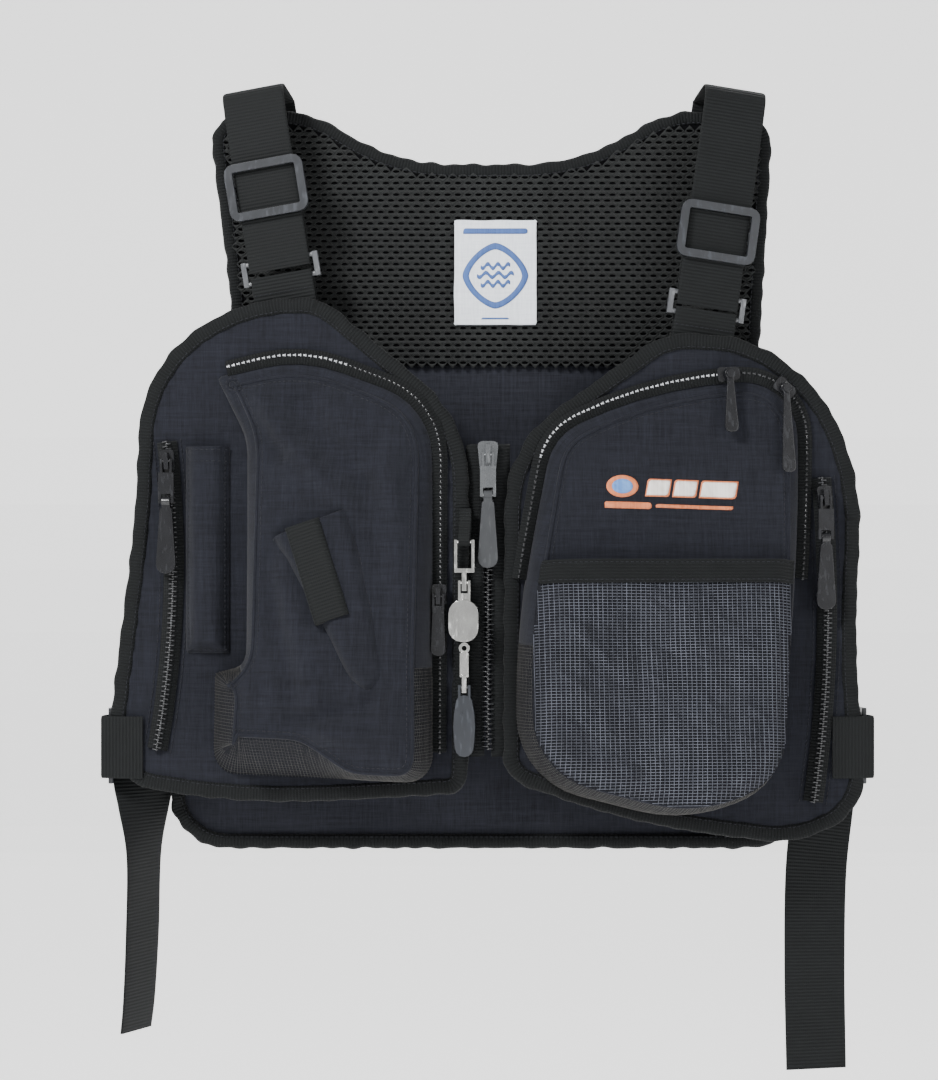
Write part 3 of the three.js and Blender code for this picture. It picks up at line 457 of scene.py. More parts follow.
def fill_outline(loops, step, insets=(0.0009, 0.0024)):
    """Triangles over an outline, finer at its edges: points, triangles and the distance of each point from the edge."""
    rims = [spaced(loop, step) for loop in loops]
    cloud = list(rims)
    for depth in insets:
        for rim in rims:
            ring = rim + inward(rim) * depth
            cloud.append(ring[(edge_distance(ring, rims) > depth * 0.85) & inside(ring, rims)])
    low, high = rims[0].min(0), rims[0].max(0)
    rows = np.arange(low[1], high[1], step * 0.866)
    grid = np.array([(x + (step / 2) * (j % 2), z) for j, z in enumerate(rows) for x in np.arange(low[0], high[0], step)])
    grid = grid[inside(grid, rims)]
    cloud.append(grid[edge_distance(grid, rims) > (insets[-1] if insets else 0) + step * 0.55])
    points = np.vstack(cloud)
    edges, first = [], 0
    for rim in rims:
        count = len(rim)
        edges += [(first + i, first + (i + 1) % count) for i in range(count)]
        first += count
    found, _, triangles, *_ = delaunay_2d_cdt([Vector(p) for p in points], edges, [], 0, 1e-8)
    flat = np.array([tuple(p) for p in found])
    triangles = np.array([t for t in triangles if len(t) == 3])
    middle = flat[triangles].mean(1)
    triangles = triangles[inside(middle, rims)]
    return flat, triangles, edge_distance(flat, rims)


def sheet(name, loops, front, thick, material, to_world, body=None, step=0.0024, insets=(0.0009, 0.0024)):
    """A closed cloth piece over an outline; front(x, z, d) is its face's y, and thick its thickness."""
    flat, triangles, distance = fill_outline(loops, step, insets)
    x, z = flat.T
    y = front(x, z, distance) + np.zeros_like(x)
    behind = thick(x, z, distance) if callable(thick) else thick
    count = len(flat)
    verts = np.vstack([np.column_stack([x, y, z]), np.column_stack([x, y + behind, z])])
    once = {}
    for t in triangles:
        for a, b in ((t[0], t[1]), (t[1], t[2]), (t[2], t[0])):
            if (b, a) in once:
                del once[(b, a)]
            else:
                once[(a, b)] = True
    faces = [tuple(t) for t in triangles]
    faces += [(t[0] + count, t[2] + count, t[1] + count) for t in triangles]
    faces += [(b, a, a + count, b + count) for a, b in once]
    mesh = shape(name, verts, faces, np.vstack([flat, flat]))
    return put(mesh, name, material, body, to_world)


def swept(name, centres, outs, ups, section, material, to_world=None, body=None, closed=False, uv_scale=1.0):
    """A section of (out, up) points, or one for each centre, carried along a line; closed joins its ends."""
    centres, outs, ups = (np.asarray(v, float) for v in (centres, outs, ups))
    section = np.asarray(section, float)
    if section.ndim == 2:
        section = np.repeat(section[None], len(centres), 0)
    rows, around = section.shape[:2]
    verts = (centres[:, None] + outs[:, None] * section[:, :, :1] + ups[:, None] * section[:, :, 1:2]).reshape(-1, 3)
    last = rows if closed else rows - 1
    faces = []
    for i in range(last):
        a, b = i * around, ((i + 1) % rows) * around
        faces += [(a + j, a + (j + 1) % around, b + (j + 1) % around, b + j) for j in range(around)]
    if not closed:
        faces += [tuple(range(around))[::-1], tuple(range((rows - 1) * around, rows * around))]
    run = np.concatenate([[0], np.cumsum(np.linalg.norm(np.diff(centres, axis=0), axis=1))])
    girth = np.concatenate([[0], np.cumsum(np.linalg.norm(np.diff(section[0], axis=0), axis=1))])
    uv = np.array([(g, r) for r in run for g in girth]) * uv_scale
    mesh = shape(name, verts, faces, uv)
    fix = bmesh.new()
    fix.from_mesh(mesh)
    bmesh.ops.recalc_face_normals(fix, faces=fix.faces)
    fix.to_mesh(mesh)
    fix.free()
    return put(mesh, name, material, body, to_world)


def oval(half_width, half_height, count=14, squareness=0.75):
    angles = np.arange(count) * 2 * math.pi / count
    c, s = np.cos(angles), np.sin(angles)
    return np.column_stack([np.sign(c) * np.abs(c) ** squareness * half_width, np.sign(s) * np.abs(s) ** squareness * half_height])


def binding(name, loop, width, low, high, to_world, body, seed):
    """Folded tape round an edge, a little puckered by its stitches."""
    line = spaced(loop, 0.0024)
    n = inward(line)
    run = np.arange(len(line)) * 0.0024
    length = len(line) * 0.0024
    chance = np.random.default_rng(seed)
    pucker = np.zeros_like(run)
    for k in range(7):
        turns = round(length / chance.uniform(0.011, 0.03))
        pucker += np.sin(run * 2 * math.pi * turns / length + chance.uniform(0, 6.283)) / 2.6
    base = oval(width / 2, (high - low) / 2, 16, 0.72)
    section = np.repeat(base[None], len(line), 0)
    outer = np.clip(base[:, 0] / (width / 2), 0, 1)[None]
    section[:, :, 0] += outer * pucker[:, None] * 0.00055
    section[:, :, 1] += pucker[:, None] * 0.00028
    centres = np.column_stack([line[:, 0] + n[:, 0] * width / 2, np.full(len(line), (low + high) / 2), line[:, 1] + n[:, 1] * width / 2])
    outs = np.column_stack([-n[:, 0], np.zeros(len(line)), -n[:, 1]])
    ups = np.tile([0.0, 1.0, 0.0], (len(line), 1))
    return swept(name, centres, outs, ups, section, BINDING, to_world, body, closed=True)


def smooth_path(points, step):
    """A rounded line through the points, at even steps."""
    p = np.asarray(points, float)
    ends = np.vstack([2 * p[0] - p[1], p, 2 * p[-1] - p[-2]])
    line = []
    for i in range(1, len(ends) - 2):
        a, b, c, d = ends[i - 1:i + 3]
        for t in np.linspace(0, 1, 12, endpoint=False):
            line.append(0.5 * (2 * b + (c - a) * t + (2 * a - 5 * b + 4 * c - d) * t ** 2 + (3 * b - a - 3 * c + d) * t ** 3))
    line.append(ends[-2])
    return spaced(np.array(line), step, closed=False)


def webbing(name, path, across, width, thick, material=None, to_world=None, rib=0.0021, round_path=True):
    """Ribbed webbing along a path; across gives its width direction at each given point."""
    joined = np.hstack([np.asarray(path, float), np.asarray(across, float) * 0.001])
    line = smooth_path(joined, rib / 4) if round_path else spaced(joined, rib / 4, closed=False)
    centres, outs = line[:, :3], line[:, 3:]
    outs = outs / np.linalg.norm(outs, axis=1)[:, None]
    along = np.gradient(centres, axis=0)
    ups = np.cross(outs, along)
    ups /= np.linalg.norm(ups, axis=1)[:, None] + 1e-12
    outs = np.cross(along, ups)
    outs /= np.linalg.norm(outs, axis=1)[:, None] + 1e-12
    run = np.concatenate([[0], np.cumsum(np.linalg.norm(np.diff(centres, axis=0), axis=1))])
    ribs = 0.5 + 0.5 * np.cos(run * 2 * math.pi / rib)
    u = np.array([-1, -0.97, -0.9, -0.6, -0.2, 0.2, 0.6, 0.9, 0.97, 1]) * width / 2
    edge = np.array([0.35, 0.75, 1, 1, 1, 1, 1, 1, 0.75, 0.35])
    ribbed = np.array([0, 0.4, 1, 1, 1, 1, 1, 1, 0.4, 0])
    lift = thick / 2 * edge[None] - 0.00028 * ribbed[None] * (1 - ribs[:, None])
    section = np.zeros((len(line), 20, 2))
    section[:, :10, 0] = u
    section[:, :10, 1] = lift
    section[:, 10:, 0] = u[::-1]
    section[:, 10:, 1] = -lift[:, ::-1]
    return swept(name, centres, outs, ups, section, material or WEBBING, to_world)


def laid_tree():
    """Places an item on every point, turned by the point's own values and sized by one value for them all."""
    tree = bpy.data.node_groups.new("laid_in_rows", "GeometryNodeTree")
    face = tree.interface
    face.new_socket("Points", in_out="INPUT", socket_type="NodeSocketGeometry")
    face.new_socket("Item", in_out="INPUT", socket_type="NodeSocketObject")
    face.new_socket("Size", in_out="INPUT", socket_type="NodeSocketFloat").default_value = 1.0
    face.new_socket("Finish", in_out="INPUT", socket_type="NodeSocketMaterial")
    face.new_socket("Pieces", in_out="OUTPUT", socket_type="NodeSocketGeometry")
    source, result = tree.nodes.new("NodeGroupInput"), tree.nodes.new("NodeGroupOutput")
    item = tree.nodes.new("GeometryNodeObjectInfo")
    turn = tree.nodes.new("GeometryNodeInputNamedAttribute")
    turn.data_type = "FLOAT_VECTOR"
    turn.inputs["Name"].default_value = "turn"
    place = tree.nodes.new("GeometryNodeInstanceOnPoints")
    real = tree.nodes.new("GeometryNodeRealizeInstances")
    finish = tree.nodes.new("GeometryNodeSetMaterial")
    link = tree.links.new
    link(source.outputs["Points"], place.inputs["Points"])
    link(source.outputs["Item"], item.inputs["Object"])
    link(item.outputs["Geometry"], place.inputs["Instance"])
    link(turn.outputs["Attribute"], place.inputs["Rotation"])
    link(source.outputs["Size"], place.inputs["Scale"])
    link(place.outputs["Instances"], real.inputs["Geometry"])
    link(real.outputs["Geometry"], finish.inputs["Geometry"])
    link(source.outputs["Finish"], finish.inputs["Material"])
    link(finish.outputs["Geometry"], result.inputs["Pieces"])
    return tree


LAID = laid_tree()


def laid(name, item, points, forward, normal, material, body, to_world=None, size=1.0):
    """Copies of an item mesh: its X runs along forward, and its Z stands along normal."""
    points, forward, normal = (np.asarray(v, float) for v in (points, forward, normal))
    turns = []
    for f, n in zip(forward, normal):
        z = Vector(n).normalized()
        y = z.cross(Vector(f)).normalized()
        x = y.cross(z)
        turns.append(Matrix((x, y, z)).transposed().to_euler())
    mesh = bpy.data.meshes.new(name)
    mesh.from_pydata([tuple(p) for p in points], [], [])
    values = mesh.attributes.new("turn", "FLOAT_VECTOR", "POINT")
    values.data.foreach_set("vector", np.array([tuple(t) for t in turns], np.float32).ravel())
    holder = bpy.data.objects.new(name + "_points", mesh)
    bpy.context.scene.collection.objects.link(holder)
    pattern = bpy.data.objects.new(name + "_item", item)
    bpy.context.scene.collection.objects.link(pattern)
    step = holder.modifiers.new("laid", "NODES")
    step.node_group = LAID
    sockets = {s.name: s.identifier for s in LAID.interface.items_tree if s.in_out == "INPUT"}
    step[sockets["Item"]] = pattern
    step[sockets["Size"]] = size
    step[sockets["Finish"]] = material
    graph = bpy.context.evaluated_depsgraph_get()
    made = bpy.data.meshes.new_from_object(holder.evaluated_get(graph))
    bpy.data.objects.remove(holder)
    bpy.data.objects.remove(pattern)
    return put(made, name, material, body, to_world)


def item_mesh(name, rings, caps=True):
    """A small closed item from rings of points."""
    rings = np.asarray(rings, float)
    count, around = rings.shape[:2]
    faces = [(i * around + j, i * around + (j + 1) % around, (i + 1) * around + (j + 1) % around, (i + 1) * around + j)
             for i in range(count - 1) for j in range(around)]
    if caps:
        faces += [tuple(range(around))[::-1], tuple(range((count - 1) * around, count * around))]
    mesh = shape(name, rings.reshape(-1, 3), faces)
    fix = bmesh.new()
    fix.from_mesh(mesh)
    bmesh.ops.recalc_face_normals(fix, faces=fix.faces)
    fix.to_mesh(mesh)
    fix.free()
    return mesh


def stitch_item(length=0.0022, width=0.0005, height=0.0003):
    ring = oval(width / 2, height / 2, 6, 1.0)
    profile = [(-0.5, 0.35, -0.00025), (-0.3, 1.0, 0.0), (0.3, 1.0, 0.0), (0.5, 0.35, -0.00025)]
    return item_mesh("stitch", [[(t * length, a * s, b * s + drop) for a, b in ring] for t, s, drop in profile])


def tooth_item(width, length, height):
    """A moulded zip tooth: a neck with a wider head."""
    outline = [(-0.5, -0.28), (0.1, -0.22), (0.32, -0.5), (0.5, -0.3), (0.5, 0.3), (0.32, 0.5), (0.1, 0.22), (-0.5, 0.28)]
    levels = [(0.0, 1.0), (0.7, 1.0), (1.0, 0.75)]
    return item_mesh("tooth", [[(x * length * s, y * width * s, z * height) for x, y in outline] for z, s in levels])


def stitches(name, line, level, to_world, body, closed=True, spacing=0.0031, material=None, normal=(0, -1, 0)):
    """A run of stitches along a line of (x, z) at depth level, which may be a function of x and z."""
    line = spaced(line, spacing, closed)
    ahead = np.roll(line, -1, 0) - np.roll(line, 1, 0) if closed else np.gradient(line, axis=0)
    y = level(line[:, 0], line[:, 1]) if callable(level) else np.full(len(line), level)
    points = np.column_stack([line[:, 0], y, line[:, 1]])
    forward = np.column_stack([ahead[:, 0], np.zeros(len(line)), ahead[:, 1]])
    normals = np.tile(normal, (len(line), 1))
    return laid(name, stitch_item(), points, forward, normals, material or THREAD, body, to_world)


def moulded(node, name, width, material, segments=2, angle=30):
    """A CAD piece with its edges rounded, standing for its node."""
    source = bmesh.new()
    source.from_mesh(NODES[node].data)
    bmesh.ops.remove_doubles(source, verts=source.verts, dist=2e-6)
    bmesh.ops.dissolve_limit(source, angle_limit=math.radians(1), verts=source.verts, edges=source.edges)
    mesh = bpy.data.meshes.new(name)
    source.to_mesh(mesh)
    source.free()
    piece = put(mesh, name, material, next(b for b, ns in frame["record"]["behaviour"]["bodies"].items() if node in ns))
    bevel = piece.modifiers.new("rounded", "BEVEL")
    bevel.width = width
    bevel.segments = segments
    bevel.limit_method = "ANGLE"
    bevel.angle_limit = math.radians(angle)
    even = piece.modifiers.new("even", "WEIGHTED_NORMAL")
    even.keep_sharp = True
    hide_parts(node)
    return piece


# ---------- back ----------
HERE = Matrix.Identity(4)


def knit_cell():
    """One hole of the air mesh: a lens in a diamond of raised yarn."""
    around = np.arange(12) * math.pi / 6
    c, s = np.cos(around), np.sin(around)
    diamond = np.column_stack([c, s]) / (np.abs(c) + np.abs(s))[:, None]
    lens = np.column_stack([c * 0.00225, s * np.abs(s) ** 0.3 * 0.00098])
    rim = diamond * (0.0032, 0.0036)
    rings = [
        np.column_stack([rim, np.full(12, -0.0002)]),
        np.column_stack([rim * 0.42 + lens * 0.66, np.full(12, 0.0006)]),
        np.column_stack([lens, np.full(12, 0.0002)]),
        np.column_stack([lens * 0.92, np.full(12, -0.0014)]),
    ]
    verts = np.vstack(rings)
    faces = [(i * 12 + j, i * 12 + (j + 1) % 12, (i + 1) * 12 + (j + 1) % 12, (i + 1) * 12 + j) for i in range(3) for j in range(12)]
    return shape("knit_cell", verts, faces)


def make_back():
    yoke = grown(outlines("back_mesh_yoke", HERE), 0.0015)
    low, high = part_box("back_mesh_yoke")

    def pad(x, z, d=None):
        return low.y + waves(x, z, 0.11, 0.0005, 3)

    shade = sheet("yoke_inside", yoke, lambda x, z, d: pad(x, z) + 0.0011, 0.006, KNIT_SHADE, HERE, "back", 0.006)
    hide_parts("back_mesh_yoke")
    rows = np.arange(low.z, high.z, 0.0036)
    spots = np.array([(x + 0.0032 * (j % 2), z) for j, z in enumerate(rows) for x in np.arange(low.x, high.x, 0.0064)])
    spots = spots[inside(spots, yoke)]
    points = np.column_stack([spots[:, 0], pad(spots[:, 0], spots[:, 1]), spots[:, 1]])
    count = len(points)
    mesh = laid("yoke_air_mesh", knit_cell(), points, np.tile((1, 0, 0), (count, 1)), np.tile((0, -1, 0), (count, 1)), KNIT, "back")

    lower = grown(outlines("back_lower_panel", HERE), 0.002)
    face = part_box("back_lower_panel")[0].y

    def rolled(x, z, d):
        drape = waves(x, z * 0.35, 0.06, 0.0013, 5) + waves(x, z * 0.5, 0.018, 0.0002, 6)
        return face + 0.001 + drape * np.clip(d / 0.02, 0, 1) + 0.002 * np.exp(-d / 0.004)

    panel = sheet("back_lower_cloth", lower, rolled, 0.0035, LINING, HERE, "back", 0.0032)
    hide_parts("back_lower_panel")

    shell = grown(outlines("back_outer_shell", HERE, "back"), 0.002)
    low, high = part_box("back_outer_shell")

    def outer(x, z, d):
        return 0.0016 + (0.0012 + waves(x, z * 0.6, 0.12, 0.0011, 8)) * np.clip(d / 0.03, 0, 1)

    skin = sheet("back_outer_cloth", shell, lambda x, z, d: low.y + 0 * x, outer, CLOTH, HERE, "back", 0.0034)
    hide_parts("back_outer_shell")

    edge = outlines("back_binding", HERE)[0]
    low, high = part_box("back_binding")
    tape = binding("back_edge_tape", edge, 0.009, low.y - 0.0004, high.y + 0.0004, HERE, "back", 11)
    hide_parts("back_binding")
    inset = spaced(edge, 0.003)
    inset = inset + inward(inset) * 0.0076
    stitches("back_edge_stitches", inset, low.y - 0.00005, HERE, "back")
    stitches("back_edge_stitches_outside", inset, high.y + 0.0001, HERE, "back", normal=(0, 1, 0))
    seam = low.z * 0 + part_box("back_mesh_yoke")[0].z
    line = np.array([(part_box("back_mesh_yoke")[0].x + 0.004, seam - 0.0025), (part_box("back_mesh_yoke")[1].x - 0.004, seam - 0.0025)])
    stitches("yoke_seam_stitches", line, face - 0.0001, HERE, "back", closed=False)


def make_label():
    low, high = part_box("woven_label")
    centre = ((low.x + high.x) / 2, (low.z + high.z) / 2)
    half = ((high.x - low.x) / 2, (high.z - low.z) / 2)

    def curl(x, z, d=None):
        return low.y + 0.0001 * np.sin((z - centre[1]) / half[1] * 2.2) - 0.0004 * ((x - centre[0]) / half[0]) ** 2

    corners = np.array([(low.x, low.z), (high.x, low.z), (high.x, high.z), (low.x, high.z)])
    loop = spaced(corners, 0.0008)
    loop += (waves(loop[:, 1], loop[:, 0], 0.02, 0.00012, 2))[:, None]
    ground = sheet("woven_label_ground", [loop], curl, 0.0006, LABEL_WHITE, HERE, "back", 0.0018)
    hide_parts("woven_label")

    def woven(name, outline, lift=0.00022):
        spot = sheet(name, outline, lambda x, z, d: curl(x, z) - lift, 0.0002, LABEL_BLUE, HERE, "back", 0.0014, ())

    def bar(x0, x1, z0, z1):
        return np.array([(centre[0] + x * MM, centre[1] + z * MM) for x, z in ((x0, z0), (x1, z0), (x1, z1), (x0, z1))])

    woven("label_top_bar", [spaced(bar(-20, 20, 24, 27.4), 0.002)])
    woven("label_low_bar", [spaced(bar(-9, 9, -29, -28), 0.002)])
    angles = np.linspace(0, 2 * math.pi, 72, endpoint=False)
    reach = (np.abs(np.cos(angles)) ** 1.5 + np.abs(np.sin(angles)) ** 1.5) ** (-1 / 1.5)
    drop = np.column_stack([np.cos(angles), np.sin(angles)]) * reach[:, None]
    outer = drop * 0.0205 + centre
    inner = (drop * 0.0165 + centre)[::-1]
    woven("label_frame", [outer - (0, 0.002), inner - (0, 0.002)])
    t = np.linspace(-0.0115, 0.0115, 26)
    for k, (z0, wide) in enumerate(((4, 0.8), (-1.5, 1.0), (-7, 0.8))):
        crest = np.sin(t * 800) * 0.0016 + centre[1] + z0 * MM
        x = t * wide + centre[0]
        woven(f"label_wave_{k}", [np.vstack([np.column_stack([x, crest - 0.0012]), np.column_stack([x, crest + 0.0012])[::-1]])])
    stitches("label_stitches", spaced(corners * 0.985 + np.array(centre) * 0.015, 0.003), lambda x, z: curl(x, z) - 0.0001, HERE, "back",
             material=LABEL_WHITE, spacing=0.003)


# ---------- fronts ----------
def middle_line(loop):
    """The line down the middle of a band's outline."""
    edges = np.linalg.norm(np.roll(loop, -1, 0) - loop, axis=1)
    first, second = sorted(np.argsort(edges)[:2])
    one = loop[first + 1:second + 1]
    other = np.vstack([loop[second + 1:], loop[:first + 1]])[::-1]
    return (one + other) / 2


def make_front(side):
    place = front_frame(side)
    body = f"{side}_front"
    seed = 20 if side == "right" else 30
    loops = grown(outlines(f"{side}_front_panel", place), 0.002)

    def face(x, z, d):
        pucker = waves(x, z, 0.011, 0.00035, seed + 5) * np.exp(-((d / 0.012) ** 2))
        return -0.0037 + 0.001 * np.exp(-d / 0.003) + waves(x, z, 0.06, 0.00022, seed) + np.minimum(pucker, 0.0004)

    panel = sheet(f"{side}_front_cloth", loops, face, 0.0032, CLOTH, place, body, 0.0028)
    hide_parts(f"{side}_front_panel")
    edge = outlines(f"{side}_front_binding", place)[0]
    tape = binding(f"{side}_front_edge_tape", edge, 0.0098, -0.0051, 0.0005, place, body, seed + 1)
    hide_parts(f"{side}_front_binding")
    inset = spaced(edge, 0.003)
    inset = inset + inward(inset) * 0.0082
    stitches(f"{side}_front_edge_stitches", inset, -0.0049, place, body)


def make_centre_zip(side):
    place, body, sign = front_frame(side), f"{side}_front", SIDES[side]
    low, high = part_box(f"{side}_zip_half")
    top, bottom = high.z - 0.004, low.z + 0.002
    x = np.array([0.0023, 0.0135]) * sign
    rect = np.array([(min(x), low.z), (max(x), low.z), (max(x), high.z), (min(x), high.z)])
    tape = sheet(f"{side}_zip_tape", [rect], lambda x, z, d: 0.0006 + 0 * x, 0.0008, BINDING, place, body, 0.004, ())
    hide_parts(f"{side}_zip_half")
    first = top - (0.0015 if side == "right" else 0.003)
    z = np.arange(first, bottom + 0.003, -0.003)
    points = np.column_stack([np.full(len(z), 0.0015 * sign), np.full(len(z), 0.0025), z])
    teeth = laid(f"{side}_zip_teeth", tooth_item(0.0017, 0.0046, 0.003), points, np.tile((-sign, 0, 0), (len(z), 1)),
                 np.tile((0, -1, 0), (len(z), 1)), TEETH, body, place)


def make_side_zip(side):
    place, body = front_frame(side), f"{side}_front"
    line = middle_line(outlines(f"{side}_side_zip", place)[0])
    line = smooth_path(line, 0.0015)
    if line[0, 1] < line[-1, 1]:
        line = line[::-1]
    along = np.gradient(line, axis=0)
    along /= np.linalg.norm(along, axis=1)[:, None]
    out = np.column_stack([-along[:, 1], along[:, 0]])
    centres = np.column_stack([line[:, 0], np.full(len(line), PANEL_FACE - 0.0004), line[:, 1]])
    outs = np.column_stack([out[:, 0], np.zeros(len(line)), out[:, 1]])
    ups = np.tile((0.0, -1.0, 0.0), (len(line), 1))
    section = [(-0.0062, -0.0004), (0.0062, -0.0004), (0.0062, 0.0002), (0.0026, 0.0004), (0.0022, 0.0016), (-0.0022, 0.0016),
               (-0.0026, 0.0004), (-0.0062, 0.0002)]
    tape = swept(f"{side}_side_zip_tape", centres, outs, ups, section, BINDING, place, body)
    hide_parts(f"{side}_side_zip")
    sign = np.where(np.arange(len(line)) % 2, 1.0, -1.0)
    points = centres + outs * (sign * 0.0009)[:, None] - (0, 0.0012, 0)
    teeth = laid(f"{side}_side_zip_teeth", tooth_item(0.0017, 0.0034, 0.0014), points, outs * -sign[:, None],
                 np.tile((0, -1, 0), (len(line), 1)), TEETH, body, place)
    edges = [line + out * d for d in (0.0085, -0.0085)]
    for k, run in enumerate(edges):
        stitches(f"{side}_side_zip_stitches_{k}", run, PANEL_FACE + 0.0004, place, body, closed=False)


# ---------- pockets ----------
def runs(mask):
    """Stretches of a closed row where mask holds, as lists of indices."""
    if mask.all():
        return [list(range(len(mask))) + [0]]
    start = int(np.argmin(mask))
    order = [(start + i) % len(mask) for i in range(len(mask))]
    found, current = [], []
    for i in order:
        if mask[i]:
            current.append(i)
        elif current:
            found.append(current)
            current = []
    if current:
        found.append(current)
    return found


def wall_strip(name, base, seam, columns, bulge, material, place, body, rows=10, ruffle=0.0):
    """Cloth from the panel out to the face's seam, along some columns of the outline."""
    base, seam = base[columns], seam[columns]
    along = np.gradient(base, axis=0)
    along /= np.linalg.norm(along, axis=1)[:, None] + 1e-12
    out = np.cross((0, 1, 0), along)
    t = np.linspace(0, 1, rows + 1)[None, :, None]
    run = np.concatenate([[0], np.cumsum(np.linalg.norm(np.diff(base, axis=0), axis=1))])
    swell = bulge * np.sin(t * math.pi) + ruffle * np.sin(run * 900)[:, None, None] * t
    grid = base[:, None] * (1 - t) + seam[:, None] * t + out[:, None] * swell
    count = len(base)
    verts = grid.reshape(-1, 3)
    step = rows + 1
    faces = [(i * step + j, (i + 1) * step + j, (i + 1) * step + j + 1, i * step + j + 1) for i in range(count - 1) for j in range(rows)]
    high = np.linalg.norm(seam - base, axis=1)
    uv = np.array([(r, h * k / rows) for r, h in zip(run, high) for k in range(step)])
    mesh = shape(name, verts, faces, uv)
    piece = put(mesh, name, material, body, place)
    wall = piece.modifiers.new("cloth_thickness", "SOLIDIFY")
    wall.thickness = 0.0009
    wall.offset = 1
    return piece, grid


def yarn_net(name, lines, radius, material, body, to_world=None):
    """Thin yarns of four sides along many lines of points, as one piece."""
    verts, faces, first = [], [], 0
    for points, normal in lines:
        points = np.asarray(points, float)
        if len(points) < 2:
            continue
        along = np.gradient(points, axis=0)
        along /= np.linalg.norm(along, axis=1)[:, None] + 1e-12
        across = np.cross(along, normal)
        across /= np.linalg.norm(across, axis=1)[:, None] + 1e-12
        ups = np.cross(across, along)
        ring = np.stack([points + across * radius, points + ups * radius * 0.8, points - across * radius, points - ups * radius * 0.8], 1)
        verts.append(ring.reshape(-1, 3))
        for i in range(len(points) - 1):
            a = first + i * 4
            faces += [(a + j, a + (j + 1) % 4, a + 4 + (j + 1) % 4, a + 4 + j) for j in range(4)]
        faces += [(first + 3, first + 2, first + 1, first), tuple(first + (len(points) - 1) * 4 + j for j in range(4))]
        first += len(points) * 4
    mesh = shape(name, np.vstack(verts), faces)
    fix = bmesh.new()
    fix.from_mesh(mesh)
    bmesh.ops.recalc_face_normals(fix, faces=fix.faces)
    fix.to_mesh(mesh)
    fix.free()
    return put(mesh, name, material, body, to_world, smooth=False)


